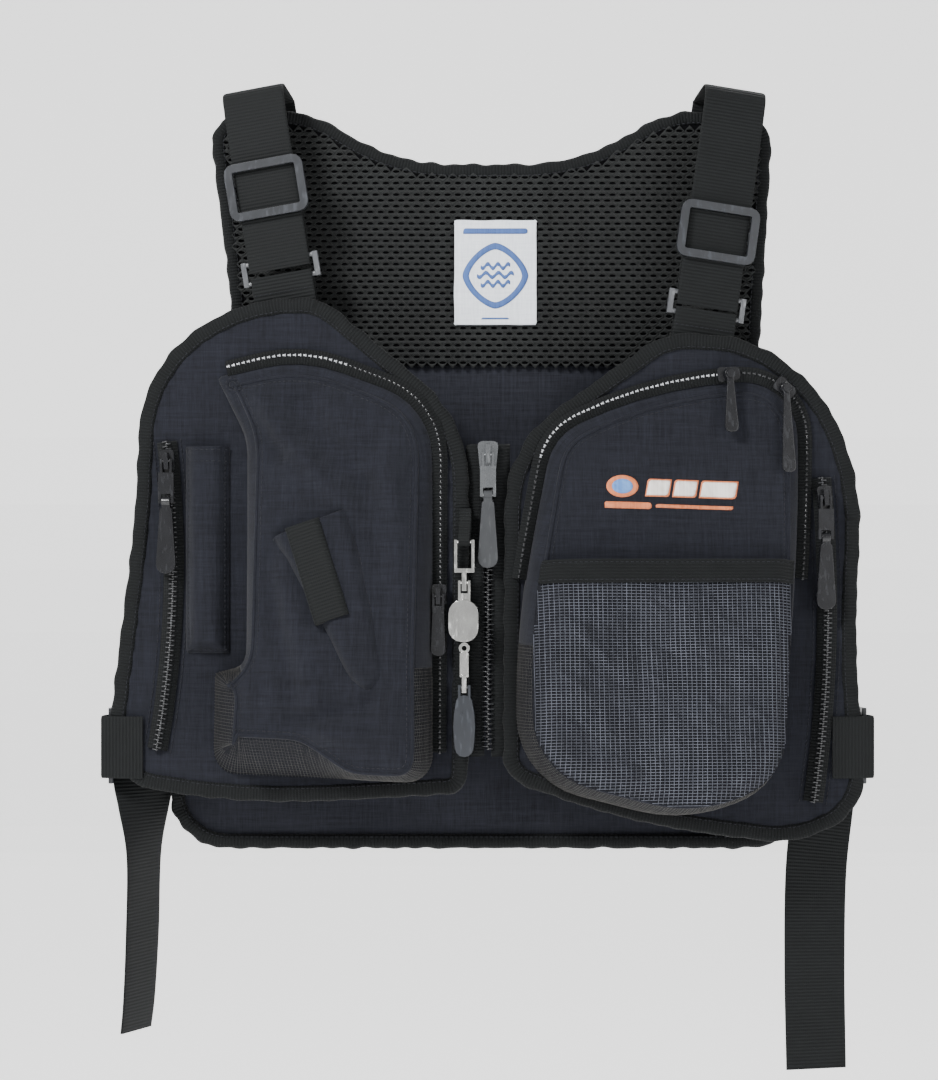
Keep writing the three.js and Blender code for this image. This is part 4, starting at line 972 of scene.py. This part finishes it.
def pocket(side, drain_z, seam_inset, face_y, lift, zip_part, highlight_part):
    """A bellows pocket: walls, mesh below drain_z over a sheet of painted shade, face, seam and zip, with a painted
    highlight on the zip teeth that its last argument picks.
    """
    place, lean, body = front_frame(side), leaning_frame(side), f"{side}_front"
    loop = spaced(outlines(f"{side}_pocket_face", lean)[0], 0.002)
    to_front = place.inverted() @ lean
    on_face = np.array([tuple(to_front @ Vector((x, 0, z))) for x, z in loop])
    base = np.column_stack([on_face[:, 0], np.full(len(loop), PANEL_FACE), on_face[:, 2]])
    n = inward(loop)
    moved = loop + n * seam_inset(on_face[:, 0], on_face[:, 2])[:, None] + lift(on_face[:, 0], on_face[:, 2])
    smooth = moved.copy()
    for _ in range(14):
        smooth = (np.roll(smooth, 1, 0) + smooth * 2 + np.roll(smooth, -1, 0)) / 4
    moved = smooth

    def seam_y(x, z):
        return face_y(x, z, np.zeros_like(x))

    seam_flat = seam_y(moved[:, 0], moved[:, 1]) + 0.0008
    seam = np.array([tuple(to_front @ Vector((x, y, z))) for (x, z), y in zip(moved, seam_flat)])
    face = sheet(f"{side}_pocket_cloth", [moved], face_y, 0.0012, CLOTH, lean, body, 0.002)
    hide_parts(f"{side}_pocket_face", f"{side}_pocket_gusset", f"{side}_pocket_drain_mesh")
    for kind, mask in (("wall", on_face[:, 2] > drain_z), ("drain", on_face[:, 2] <= drain_z)):
        for k, columns in enumerate(runs(mask)):
            if kind == "wall":
                columns = [columns[0] - 1] + columns + [(columns[-1] + 1) % len(loop)]
                strip, _ = wall_strip(f"{side}_pocket_wall_{k}", base, seam, columns, 0.0016, CLOTH, place, body)
                continue
            # below drain_z the wall is a dark sheet of painted shade, with the drain's yarns laid over it
            strip, grid = wall_strip(f"{side}_drain_web_{k}", base, seam, columns, 0.0012, MESH_SHADE, place, body, 14, 0.0003)
            along = np.gradient(base[columns], axis=0)
            out = np.cross((0, 1, 0), along / (np.linalg.norm(along, axis=1)[:, None] + 1e-12))
            raised = grid + out[:, None] * 0.0011
            lines = [(raised[:, j], out) for j in range(1, 14)]
            lines += [(raised[i], np.tile(out[i], (15, 1))) for i in range(0, len(columns))]
            net = yarn_net(f"{side}_drain_mesh_{k}", lines, 0.00015, GRID_DARK, body, place)
    centres = np.column_stack([moved[:, 0], seam_flat - 0.0004, moved[:, 1]])
    m = inward(moved)
    outs = np.column_stack([-m[:, 0], np.zeros(len(m)), -m[:, 1]])
    ups = np.tile((0.0, -1.0, 0.0), (len(m), 1))
    cord = swept(f"{side}_pocket_seam", centres, outs, ups, oval(0.0013, 0.0013, 8, 1.0), CLOTH, lean, body, closed=True)
    stitches(f"{side}_pocket_seam_stitches", moved + m * 0.003,
             lambda x, z: face_y(x, z, np.full_like(x, 0.003)) - 0.00015, lean, body)

    outline = base[:, [0, 2]] - inward(base[:, [0, 2]]) * 0.005
    outline = spaced(outline, 0.0016)
    rim = inward(outline)
    centres = np.column_stack([outline[:, 0], np.full(len(outline), PANEL_FACE - 0.0012), outline[:, 1]])
    outs = np.column_stack([-rim[:, 0], np.zeros(len(rim)), -rim[:, 1]])
    ups = np.tile((0.0, -1.0, 0.0), (len(rim), 1))
    section = [(-0.0052, -0.0012), (0.0042, -0.0012), (0.0042, -0.0004), (0.0022, 0.0), (0.0018, 0.0014), (-0.0014, 0.0014), (-0.0024, 0.0004),
               (-0.0052, 0.0012)]
    chosen = runs(zip_part(outline[:, 0], outline[:, 1]))
    for k, columns in enumerate(chosen):
        tape = swept(f"{side}_pocket_zip_tape_{k}", centres[columns], outs[columns], ups[columns], section, BINDING, place, body)
        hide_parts(f"{side}_pocket_zip")
        picked = np.array(columns)[::2]
        # the teeth picked here get the pale material, a painted highlight; the rest stay black
        pale = highlight_part(outline[picked, 0], outline[picked, 1])
        for label, part, finish in (("pale", picked[pale], TEETH_HIGHLIGHT), ("dark", picked[~pale], TEETH)):
            if len(part) == 0:
                continue
            points = centres[part] + ups[part] * 0.0012 + outs[part] * 0.0004
            sideways = np.cross(outs[part], ups[part])
            dots = laid(f"{side}_pocket_zip_{label}_{k}", tooth_item(0.0019, 0.0019, 0.0009), points, sideways, ups[part], finish, body, place)
    return lean, place, body, moved


def make_right_pocket():
    folds = [  # from, to, width, height, in millimetres on the leaning face, up positive
        ((-143, -22), (-62, -110), 9, 4.6, 1.6), ((-150, -34), (-122, -60), 6, -3.0, 2.0), ((-118, -20), (-66, -84), 10, -3.4, 2.0),
        ((-96, -30), (-52, -92), 9, 2.4, 2.0), ((-60, -40), (-44, -150), 10, 2.6, 2.0), ((-75, -60), (-62, -160), 8, -1.6, 2.0),
        ((-140, -70), (-146, -150), 9, 2.0, 2.0), ((-135, -110), (-112, -205), 7, -3.0, 1.8), ((-122, -120), (-96, -215), 9, 2.6, 2.0),
        ((-148, -150), (-140, -215), 7, 2.0, 2.0), ((-128, -222), (-70, -208), 6, -3.8, 1.6), ((-132, -232), (-66, -222), 8, 3.4, 2.0),
        ((-72, -212), (-50, -190), 7, -2.0, 2.0), ((-58, -150), (-52, -230), 9, 1.8, 2.0), ((-110, -240), (-60, -244), 6, -2.0, 2.0),
        ((-44, -60), (-38, -200), 6, -1.4, 2.0),
    ]

    def relief(x, z):
        total = waves(x, z, 0.05, 0.0009, 41) + waves(x, z, 0.02, 0.00045, 42) + waves(x, z, 0.009, 0.00014, 43)
        for a, b, width, height, sharp in folds:
            total = total + crease(x, z, a, b, width, height * 1.25, sharp)
        return total

    def face_y(x, z, d):
        crown = 0.0036 * (1 - np.exp(-d / 0.009)) + 0.001
        quiet = 1 - 0.75 * np.exp(-(((x + 0.093) / 0.03) ** 2 + ((z + 0.135) / 0.055) ** 2))
        return -0.0016 - crown - relief(x, z) * np.clip(d / 0.012, 0, 1) * quiet

    def seam_inset(x, z):
        return 0.0065 + 0.0015 * np.clip((z + 0.40) / 0.05, 0, 1)

    def lift(x, z):
        low = np.clip((-0.402 - z) / 0.012, 0, 1) * np.clip((-0.078 - x) / 0.03, 0, 1)
        left = np.clip((-0.146 - x) / 0.012, 0, 1) * np.clip((-0.352 - z) / 0.012, 0, 1)
        return np.column_stack([left * 0.012, low * 0.019])

    def zip_part(x, z):
        return ((x > -0.16) & (z > -0.182)) | ((x > -0.06) & (z > -0.404))

    # the last argument picks the zip teeth given a painted highlight, near the pocket's top
    pocket("right", -0.352, seam_inset, face_y, lift, zip_part, lambda x, z: (x < -0.084) & (z > -0.19))


def make_left_pocket():
    folds = [
        ((40, -36), (150, -14), 6, 1.0, 2.0), ((45, -60), (120, -34), 9, -0.9, 2.0), ((150, -30), (182, -52), 6, -1.3, 2.0),
        ((30, -80), (60, -110), 8, 0.9, 2.0), ((20, -60), (30, -170), 6, 0.9, 2.0), ((182, -60), (186, -180), 6, 0.8, 2.0),
    ]

    def relief(x, z):
        total = waves(x, z, 0.06, 0.00035, 51) + waves(x, z, 0.02, 0.00022, 52) + waves(x, z, 0.009, 0.0001, 53)
        for a, b, width, height, sharp in folds:
            total = total + crease(x, z, a, b, width, height, sharp)
        return total

    def face_y(x, z, d):
        crown = 0.0006 * (1 - np.exp(-d / 0.008))
        return -0.0016 - crown - relief(x, z) * np.clip(d / 0.012, 0, 1) * 0.7

    def seam_inset(x, z):
        return 0.0076 + 0 * x

    def zip_part(x, z):
        return z > -0.300

    # the last argument picks the zip teeth given a painted highlight, near the pocket's top
    lean, _, body, _ = pocket("left", -0.338, seam_inset, face_y, lambda x, z: np.zeros((len(x), 2)), zip_part,
                              lambda x, z: (x < 0.150) & (z > -0.228))
    chest_print(lean, body, face_y)


def chest_print(lean, body, face_y):
    """A plain printed badge and two bars on the left pocket."""
    top = lean.translation.z

    def printed(name, loops, material, lift=0.00025):
        spot = sheet(name, loops, lambda x, z, d: face_y(x, z, np.full_like(x, 0.05)) - lift, 0.0002, material, lean, body, 0.0016, ())

    def block(x0, z0, x1, z1, slant=0.0, tilt=-0.03):
        points = np.array([(x0, z0), (x1, z0), (x1 + slant, z1), (x0 + slant, z1)]) * MM
        points[:, 1] += (points[:, 0] - 0.1) * tilt - top
        return spaced(points, 0.002)

    for k, (x0, x1) in enumerate(((94, 107), (110.5, 123.5), (127, 148))):
        printed(f"print_block_{k}", [block(x0, -250, x1, -241, 2.0)], PRINT_WHITE, 0.00035)
        printed(f"print_block_edge_{k}", [block(x0 - 0.9, -250.9, x1 + 0.9, -240.1, 2.0)], PRINT_ORANGE, 0.00016)
    printed("print_bar_left", [block(68.5, -258.6, 97, -254.6)], PRINT_ORANGE)
    printed("print_bar_right", [block(99.5, -257.6, 147, -255.4)], PRINT_ORANGE)
    turns = np.linspace(0, 2 * math.pi, 48, endpoint=False)
    drop = np.column_stack([np.cos(turns) * 0.0098, np.sin(turns) * 0.0068]) + (0.0795, -0.2445 - top)
    printed("print_badge", [drop], PRINT_ORANGE, 0.00016)
    printed("print_badge_middle", [drop * 0.66 + np.array((0.0795, -0.2445 - top)) * 0.34], PRINT_BLUE, 0.0003)


# ---------- patch pockets, sleeve and mesh pocket ----------
def local_span(node, to_world):
    """The lowest and highest corner of a node in another frame."""
    back = to_world.inverted()
    points = np.array([tuple(back @ v.co) for v in NODES[node].data.vertices])
    return points.min(0), points.max(0)


def held_edges(loop, mouth):
    """The edges of an outline that are sewn down, which leaves out those whose middle lies in its mouth."""
    ends = np.roll(loop, -1, 0)
    middle = (loop + ends) / 2
    kept = ~mouth(middle[:, 0], middle[:, 1])
    return loop[kept], ends[kept]


def held_distance(x, z, edges):
    starts, ends = edges
    points = np.column_stack([np.ravel(x), np.ravel(z)])
    best = np.full(len(points), np.inf)
    for a, b in zip(starts, ends):
        run = b - a
        t = np.clip(((points - a) @ run) / (run @ run + 1e-12), 0, 1)
        best = np.minimum(best, np.linalg.norm(points - a - t[:, None] * run, axis=1))
    return best


def patch(node, place, mouth, round_over, material, seed, step=0.002, fold=None):
    """A pocket sewn down on all sides but its mouth; returns its face's y and its outline."""
    body = next(b for b, ns in frame["record"]["behaviour"]["bodies"].items() if node in ns)
    loop = spaced(outlines(node, place)[0], step)
    low, high = local_span(node, place)
    edges = held_edges(loop, mouth)
    depth = high[1] - low[1]

    def face(x, z, d=None):
        rise = 1 - np.exp(-((held_distance(x, z, edges) / round_over) ** 1.6))
        soft = waves(x, z, 0.035, 0.0007, seed)
        total = depth * 0.96 * rise + soft * rise
        if fold:
            total = total + fold(x, z) * rise
        return high[1] - total

    piece = sheet(f"{node}_cloth", [loop], face, 0.0013, material, place, body, step)
    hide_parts(node)
    return face, loop, body


def make_slim_pocket():
    place = front_frame("right")
    top = local_span("slim_pocket", place)[1][2]
    face, loop, body = patch("slim_pocket", place, lambda x, z: z > top - 0.002, 0.0042, CLOTH, 61)
    left, right = loop[:, 0].min() + 0.002, loop[:, 0].max() - 0.002
    for k, drop in enumerate((0.002, 0.009)):
        line = np.array([(left, top - drop), (right, top - drop)])
        stitches(f"slim_pocket_hem_{k}", line, lambda x, z: face(x, z) - 0.0002, place, body, closed=False)
    inset = loop + inward(loop) * 0.0022
    sides = inset[(inset[:, 1] < top - 0.004)]
    stitches("slim_pocket_side_stitches", sides, lambda x, z: face(x, z) - 0.0002, place, body, closed=False)


def make_sleeve():
    place = leaning_frame("right")
    a, b = np.array([-0.079, -0.258]), np.array([-0.128, -0.277])
    to_lean = place.inverted() @ front_frame("right")
    a, b = (np.array(tuple(to_lean @ Vector((p[0], PANEL_FACE, p[1]))))[::2] for p in (a, b))
    run = (b - a) / np.linalg.norm(b - a)

    def mouth(x, z):
        off = np.abs((x - a[0]) * run[1] - (z - a[1]) * run[0])
        return off < 0.0035

    def fold(x, z):
        return crease(x, z, (-112, -105), (-74, -180), 12, 1.0, 2.0) + crease(x, z, (-90, -120), (-66, -190), 8, -0.8, 2.0)

    face, loop, body = patch("tool_sleeve", place, mouth, 0.0040, CLOTH, 62, fold=fold)
    inset = loop + inward(loop) * 0.002
    keep = ~mouth(inset[:, 0], inset[:, 1])
    for k, columns in enumerate(runs(keep)):
        stitches(f"sleeve_stitches_{k}", inset[columns], lambda x, z: face(x, z) - 0.0002, place, body, closed=False)
    ribbon("tool_sleeve_strap", place, body)


def ribbon(node, place, body):
    """A straight piece of webbing lying flat, made from its plate's outline."""
    loop = outlines(node, place)[0]
    middle = loop.mean(0)
    spread = np.linalg.svd(loop - middle)[2]
    reach = (loop - middle) @ spread.T
    long_dir, across = spread[0], spread[1]
    ends = [middle + long_dir * reach[:, 0].min(), middle + long_dir * reach[:, 0].max()]
    low, high = local_span(node, place)
    y = (low[1] + high[1]) / 2
    path = np.array([(p[0], y, p[1]) for p in np.linspace(ends[0], ends[1], 10)])
    wide = np.tile((across[0], 0, across[1]), (len(path), 1))
    tape = webbing(f"{node}_webbing", path, wide, np.ptp(reach[:, 1]), high[1] - low[1], to_world=place, round_path=False)
    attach(tape, body)
    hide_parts(node)


def make_mesh_pocket():
    place, body = leaning_frame("left"), "left_front"
    loop = spaced(outlines("mesh_pocket", place)[0], 0.002)
    low, high = local_span("mesh_pocket", place)
    hem_low, hem_high = local_span("mesh_pocket_hem", place)
    top = loop[:, 1].max()
    edges = held_edges(loop, lambda x, z: z > top - 0.002)
    depth = high[1] - low[1]

    def surface(x, z):
        rise = 1 - np.exp(-((held_distance(x, z, edges) / 0.007) ** 1.5))
        sag = waves(x, z, 0.05, 0.0006, 71) + crease(x, z, (112, -236), (116, -268), 16, -2.2, 1.6)
        return (high[1] - depth * 0.93 * rise - sag * rise).reshape(np.shape(x))

    # a dark sheet just behind the pocket's yarns: painted shade seen through the mesh
    shade_sheet = sheet("mesh_pocket_shadow", [loop], lambda x, z, d: surface(x, z) + 0.0004, 0.0009, MESH_SHADE, place, body, 0.0026)
    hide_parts("mesh_pocket")
    lines = []
    (x0, z0), (x1, z1) = loop.min(0), loop.max(0)
    for fixed, pitch, start, stop in ((0, 0.0029, x0, x1), (1, 0.0018, z0, z1)):
        other0, other1 = (z0, z1) if fixed == 0 else (x0, x1)
        for k, value in enumerate(np.arange(start + pitch / 2, stop, pitch)):
            run = np.arange(other0, other1, 0.0022)
            points = np.empty((len(run), 2))
            points[:, fixed] = value
            points[:, 1 - fixed] = run
            points += waves(points[:, 0], points[:, 1], 0.09, 0.00035, 72 + fixed)[:, None]
            held = inside(points, [loop])
            lift = 0.00012 * np.cos(np.arange(len(run)) * math.pi + k * math.pi)
            spot = np.column_stack([points[:, 0], surface(points[:, 0], points[:, 1]) + lift - 0.0001, points[:, 1]])
            if held.all():
                lines.append((spot, (0.0, -1.0, 0.0)))
            elif held.any():
                lines += [(spot[c], (0.0, -1.0, 0.0)) for c in runs(held) if len(c) > 2 and np.all(np.diff(c) == 1)]
    net = yarn_net("mesh_pocket_threads", lines, 0.00021, GRID_YARN, body, place)

    hem = spaced(outlines("mesh_pocket_hem", place)[0], 0.002)

    def hem_face(x, z, d=None):
        return surface(x, z) - 0.0014 + 0.0004 * np.sin(z * 700) * 0.3 + waves(x, z, 0.03, 0.0003, 75)

    band = sheet("mesh_pocket_hem_band", [hem], hem_face, 0.0012, BINDING, place, body, 0.002)
    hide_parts("mesh_pocket_hem")
    (hx0, hz0), (hx1, hz1) = hem.min(0), hem.max(0)
    for k, z in enumerate((hz0 + 0.0018, hz1 - 0.0018)):
        line = np.array([(hx0 + 0.003, z), (hx1 - 0.003, z)])
        stitches(f"mesh_pocket_hem_stitches_{k}", line, lambda x, z: hem_face(x, z) - 0.0001, place, body, closed=False)


# ---------- webbing ----------
def arc(centre, radius, start, stop, steps=10):
    turns = np.radians(np.linspace(start, stop, steps))
    return [(centre[0] + radius * math.cos(t), centre[1] + radius * math.sin(t)) for t in turns]


STRAPS = {"right": (-0.146, math.radians(9.3), -62, -112), "left": (0.154, math.radians(-8), -89, -134)}


def strap_frame(side):
    x, lean = STRAPS[side][:2]
    hang = (0.030 - abs(x) * math.sin(FRONT_TURN)) / math.cos(FRONT_TURN)
    place = front_frame(side) @ Matrix.Translation((x, hang, 0)) @ Matrix.Rotation(-lean, 4, "Y")
    skew = (19 + 66 * math.sin(abs(lean))) * math.sin(FRONT_TURN)
    return place, 1.4 - hang / MM, (25.3 + skew) / math.cos(FRONT_TURN)


def flat_path(points, side=None):
    """Points of (depth, height) in millimetres, as a path across a strap."""
    return np.array([(0.0, y, z) for y, z in points]) * MM


def make_shoulder(side):
    place, leg, back = strap_frame(side)
    _, _, slider, ring = STRAPS[side]
    path = [(back, -66), (back, -10), (back - 3, -4)] + arc((0, -8), 9.1, 75, 180) + [(leg, -30)]
    path += arc((leg + 2.7, ring + 5.9), 2.7, 180, 360) + [(leg + 5.4, slider + 6)]
    points = flat_path(path)
    strap = webbing(f"{side}_shoulder_webbing", points, np.tile((1.0, 0.0, 0.0), (len(points), 1)), WEBBING_WIDTH, WEBBING_THICK,
                    to_world=place)
    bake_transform(strap)
    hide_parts(f"{side}_shoulder_strap")

    tab = [(leg, ring - 39.9)] + arc((leg + 2.7, ring - 5.9), 2.7, 180, 0) + [(leg + 5.4, ring - 39.9)]
    points = flat_path(tab)
    loop = webbing(f"{side}_ring_tab_webbing", points, np.tile((1.0, 0.0, 0.0), (len(points), 1)), WEBBING_WIDTH, WEBBING_THICK,
                   to_world=place)
    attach(loop, f"{side}_front")
    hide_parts(f"{side}_ring_tab")
    half = WEBBING_WIDTH / 2 - 0.002
    for k, drop in enumerate((-14, -34)):
        line = np.array([(-half, (ring + drop) * MM), (half, (ring + drop) * MM)])
        stitches(f"{side}_ring_tab_stitches_{k}", line, leg * MM - WEBBING_THICK / 2 - 0.0001, place, f"{side}_front", closed=False)


def make_side_webbing(side):
    sign = SIDES[side]
    place = front_frame(side)
    height = (-422 - 384) / 2
    path = [(212, -5.4), (234.5, -5.4), (237.5, -3.9), (238.5, -0.9)] + arc((235.13, 7), 3.37, 0, 180) + [(231.8, 3)]
    points = np.array([(sign * x, y, height) for x, y in path]) * MM
    upright = np.tile((0.0, 0.0, 1.0), (len(points), 1))
    tab = webbing(f"{side}_side_tab_webbing", points, upright, WEBBING_WIDTH, WEBBING_THICK, to_world=place)
    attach(tab, f"{side}_front")
    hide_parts(f"{side}_side_tab")

    run = [(168, 25.3), (214, 25.3), (224, 28.5), (228, 30), (233, 30), (235.4, 27.5), (234.7, 23), (231, 21), (227, 19.5), (226, 17), (226, 12.4)]
    points = np.array([(sign * x, y, height) for x, y in run]) * MM
    strap = webbing(f"{side}_side_webbing", points, np.tile((0.0, 0.0, 1.0), (len(points), 1)), WEBBING_WIDTH, WEBBING_THICK)
    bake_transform(strap)
    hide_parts(f"{side}_side_strap")
    if side == "right":
        drop = [(-210, -385, 1.0, 0.0), (-213, -415, 1.0, 0.1), (-213, -440, 0.75, 0.65), (-213, -470, 0.45, 0.9), (-214, -520, 0.42, 0.92),
                (-216, -560, 0.4, 0.93), (-218, -580, 0.38, 0.93)]
    else:
        drop = [(210, -385, 1.0, 0.0), (209, -430, 1.0, 0.0), (204, -480, 1.0, 0.05), (203, -540, 1.0, 0.1), (204, -604, 0.98, 0.14)]
    points = np.array([(x, 12.4, z) for x, z, _, _ in drop]) * MM
    wide = np.array([(a, b, 0.0) for _, _, a, b in drop])
    tail = webbing(f"{side}_side_tail_webbing", points, wide, WEBBING_WIDTH, WEBBING_THICK)
    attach(tail, f"{side}_front")


def make_retractor_tab():
    place = front_frame("right")
    path = [(5.2, 20), (5.2, 9), (2.1, 1.5)] + arc((0, 0), 2.1, 0, -180) + [(-2.1, 2.5), (3.6, 12), (3.6, 20)]
    points = np.array([(-13, -10.4 + y, -277 + z) for y, z in path]) * MM
    tab = webbing("retractor_tab_webbing", points, np.tile((1.0, 0.0, 0.0), (len(points), 1)), 0.007, 0.0012, to_world=place, rib=0.0014)
    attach(tab, "right_front")
    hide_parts("retractor_tab")


# ---------- hardware ----------
def make_hardware():
    metal = {"centre_zip_slider": GUNMETAL, "centre_pull_link": GUNMETAL}
    for node in NODES:
        if node.endswith("_slider") and "strap" not in node:
            finish, slot_name, width = metal.get(node, BLACK_METAL), "zip_slider", 0.0004
        elif node.endswith("_pull_link"):
            finish, slot_name, width = metal.get(node, BLACK_METAL), "zip_slider", 0.0003
        elif node == "centre_pull_tab":
            finish, slot_name, width = RUBBER, "pull_tab", 0.0008
        elif node.endswith("_tab") and ("slider" in node or "pull" in node):
            finish, slot_name, width = BLACK_METAL, "pull_tab", 0.0005
        elif node.endswith("_strap_slider") or node.endswith("_ladder_buckle"):
            finish, slot_name, width = PLASTIC, "buckle_plastic", 0.0007
        elif node.endswith("_square_ring"):
            finish, slot_name, width = RING_PLASTIC, "buckle_plastic", 0.0006
        elif node in ("retractor_clip", "retractor_snap"):
            finish, slot_name, width = CHROME, "retractor_metal", 0.00035
        elif node == "retractor_reel":
            finish, slot_name, width = CHROME, "retractor_metal", 0.0005
        elif node == "line_nipper":
            finish, slot_name, width = SATIN, "nipper", 0.0006
        else:
            continue
        moulded(node, f"{node}_moulded", width, finish, 3)


# ---------- the vest ----------
make_stage()
make_back()
make_label()
for name in ("right", "left"):
    make_front(name)
    make_centre_zip(name)
    make_side_zip(name)
make_right_pocket()
make_left_pocket()
make_slim_pocket()
make_sleeve()
make_mesh_pocket()
for name in ("right", "left"):
    make_shoulder(name)
    make_side_webbing(name)
make_retractor_tab()
make_hardware()
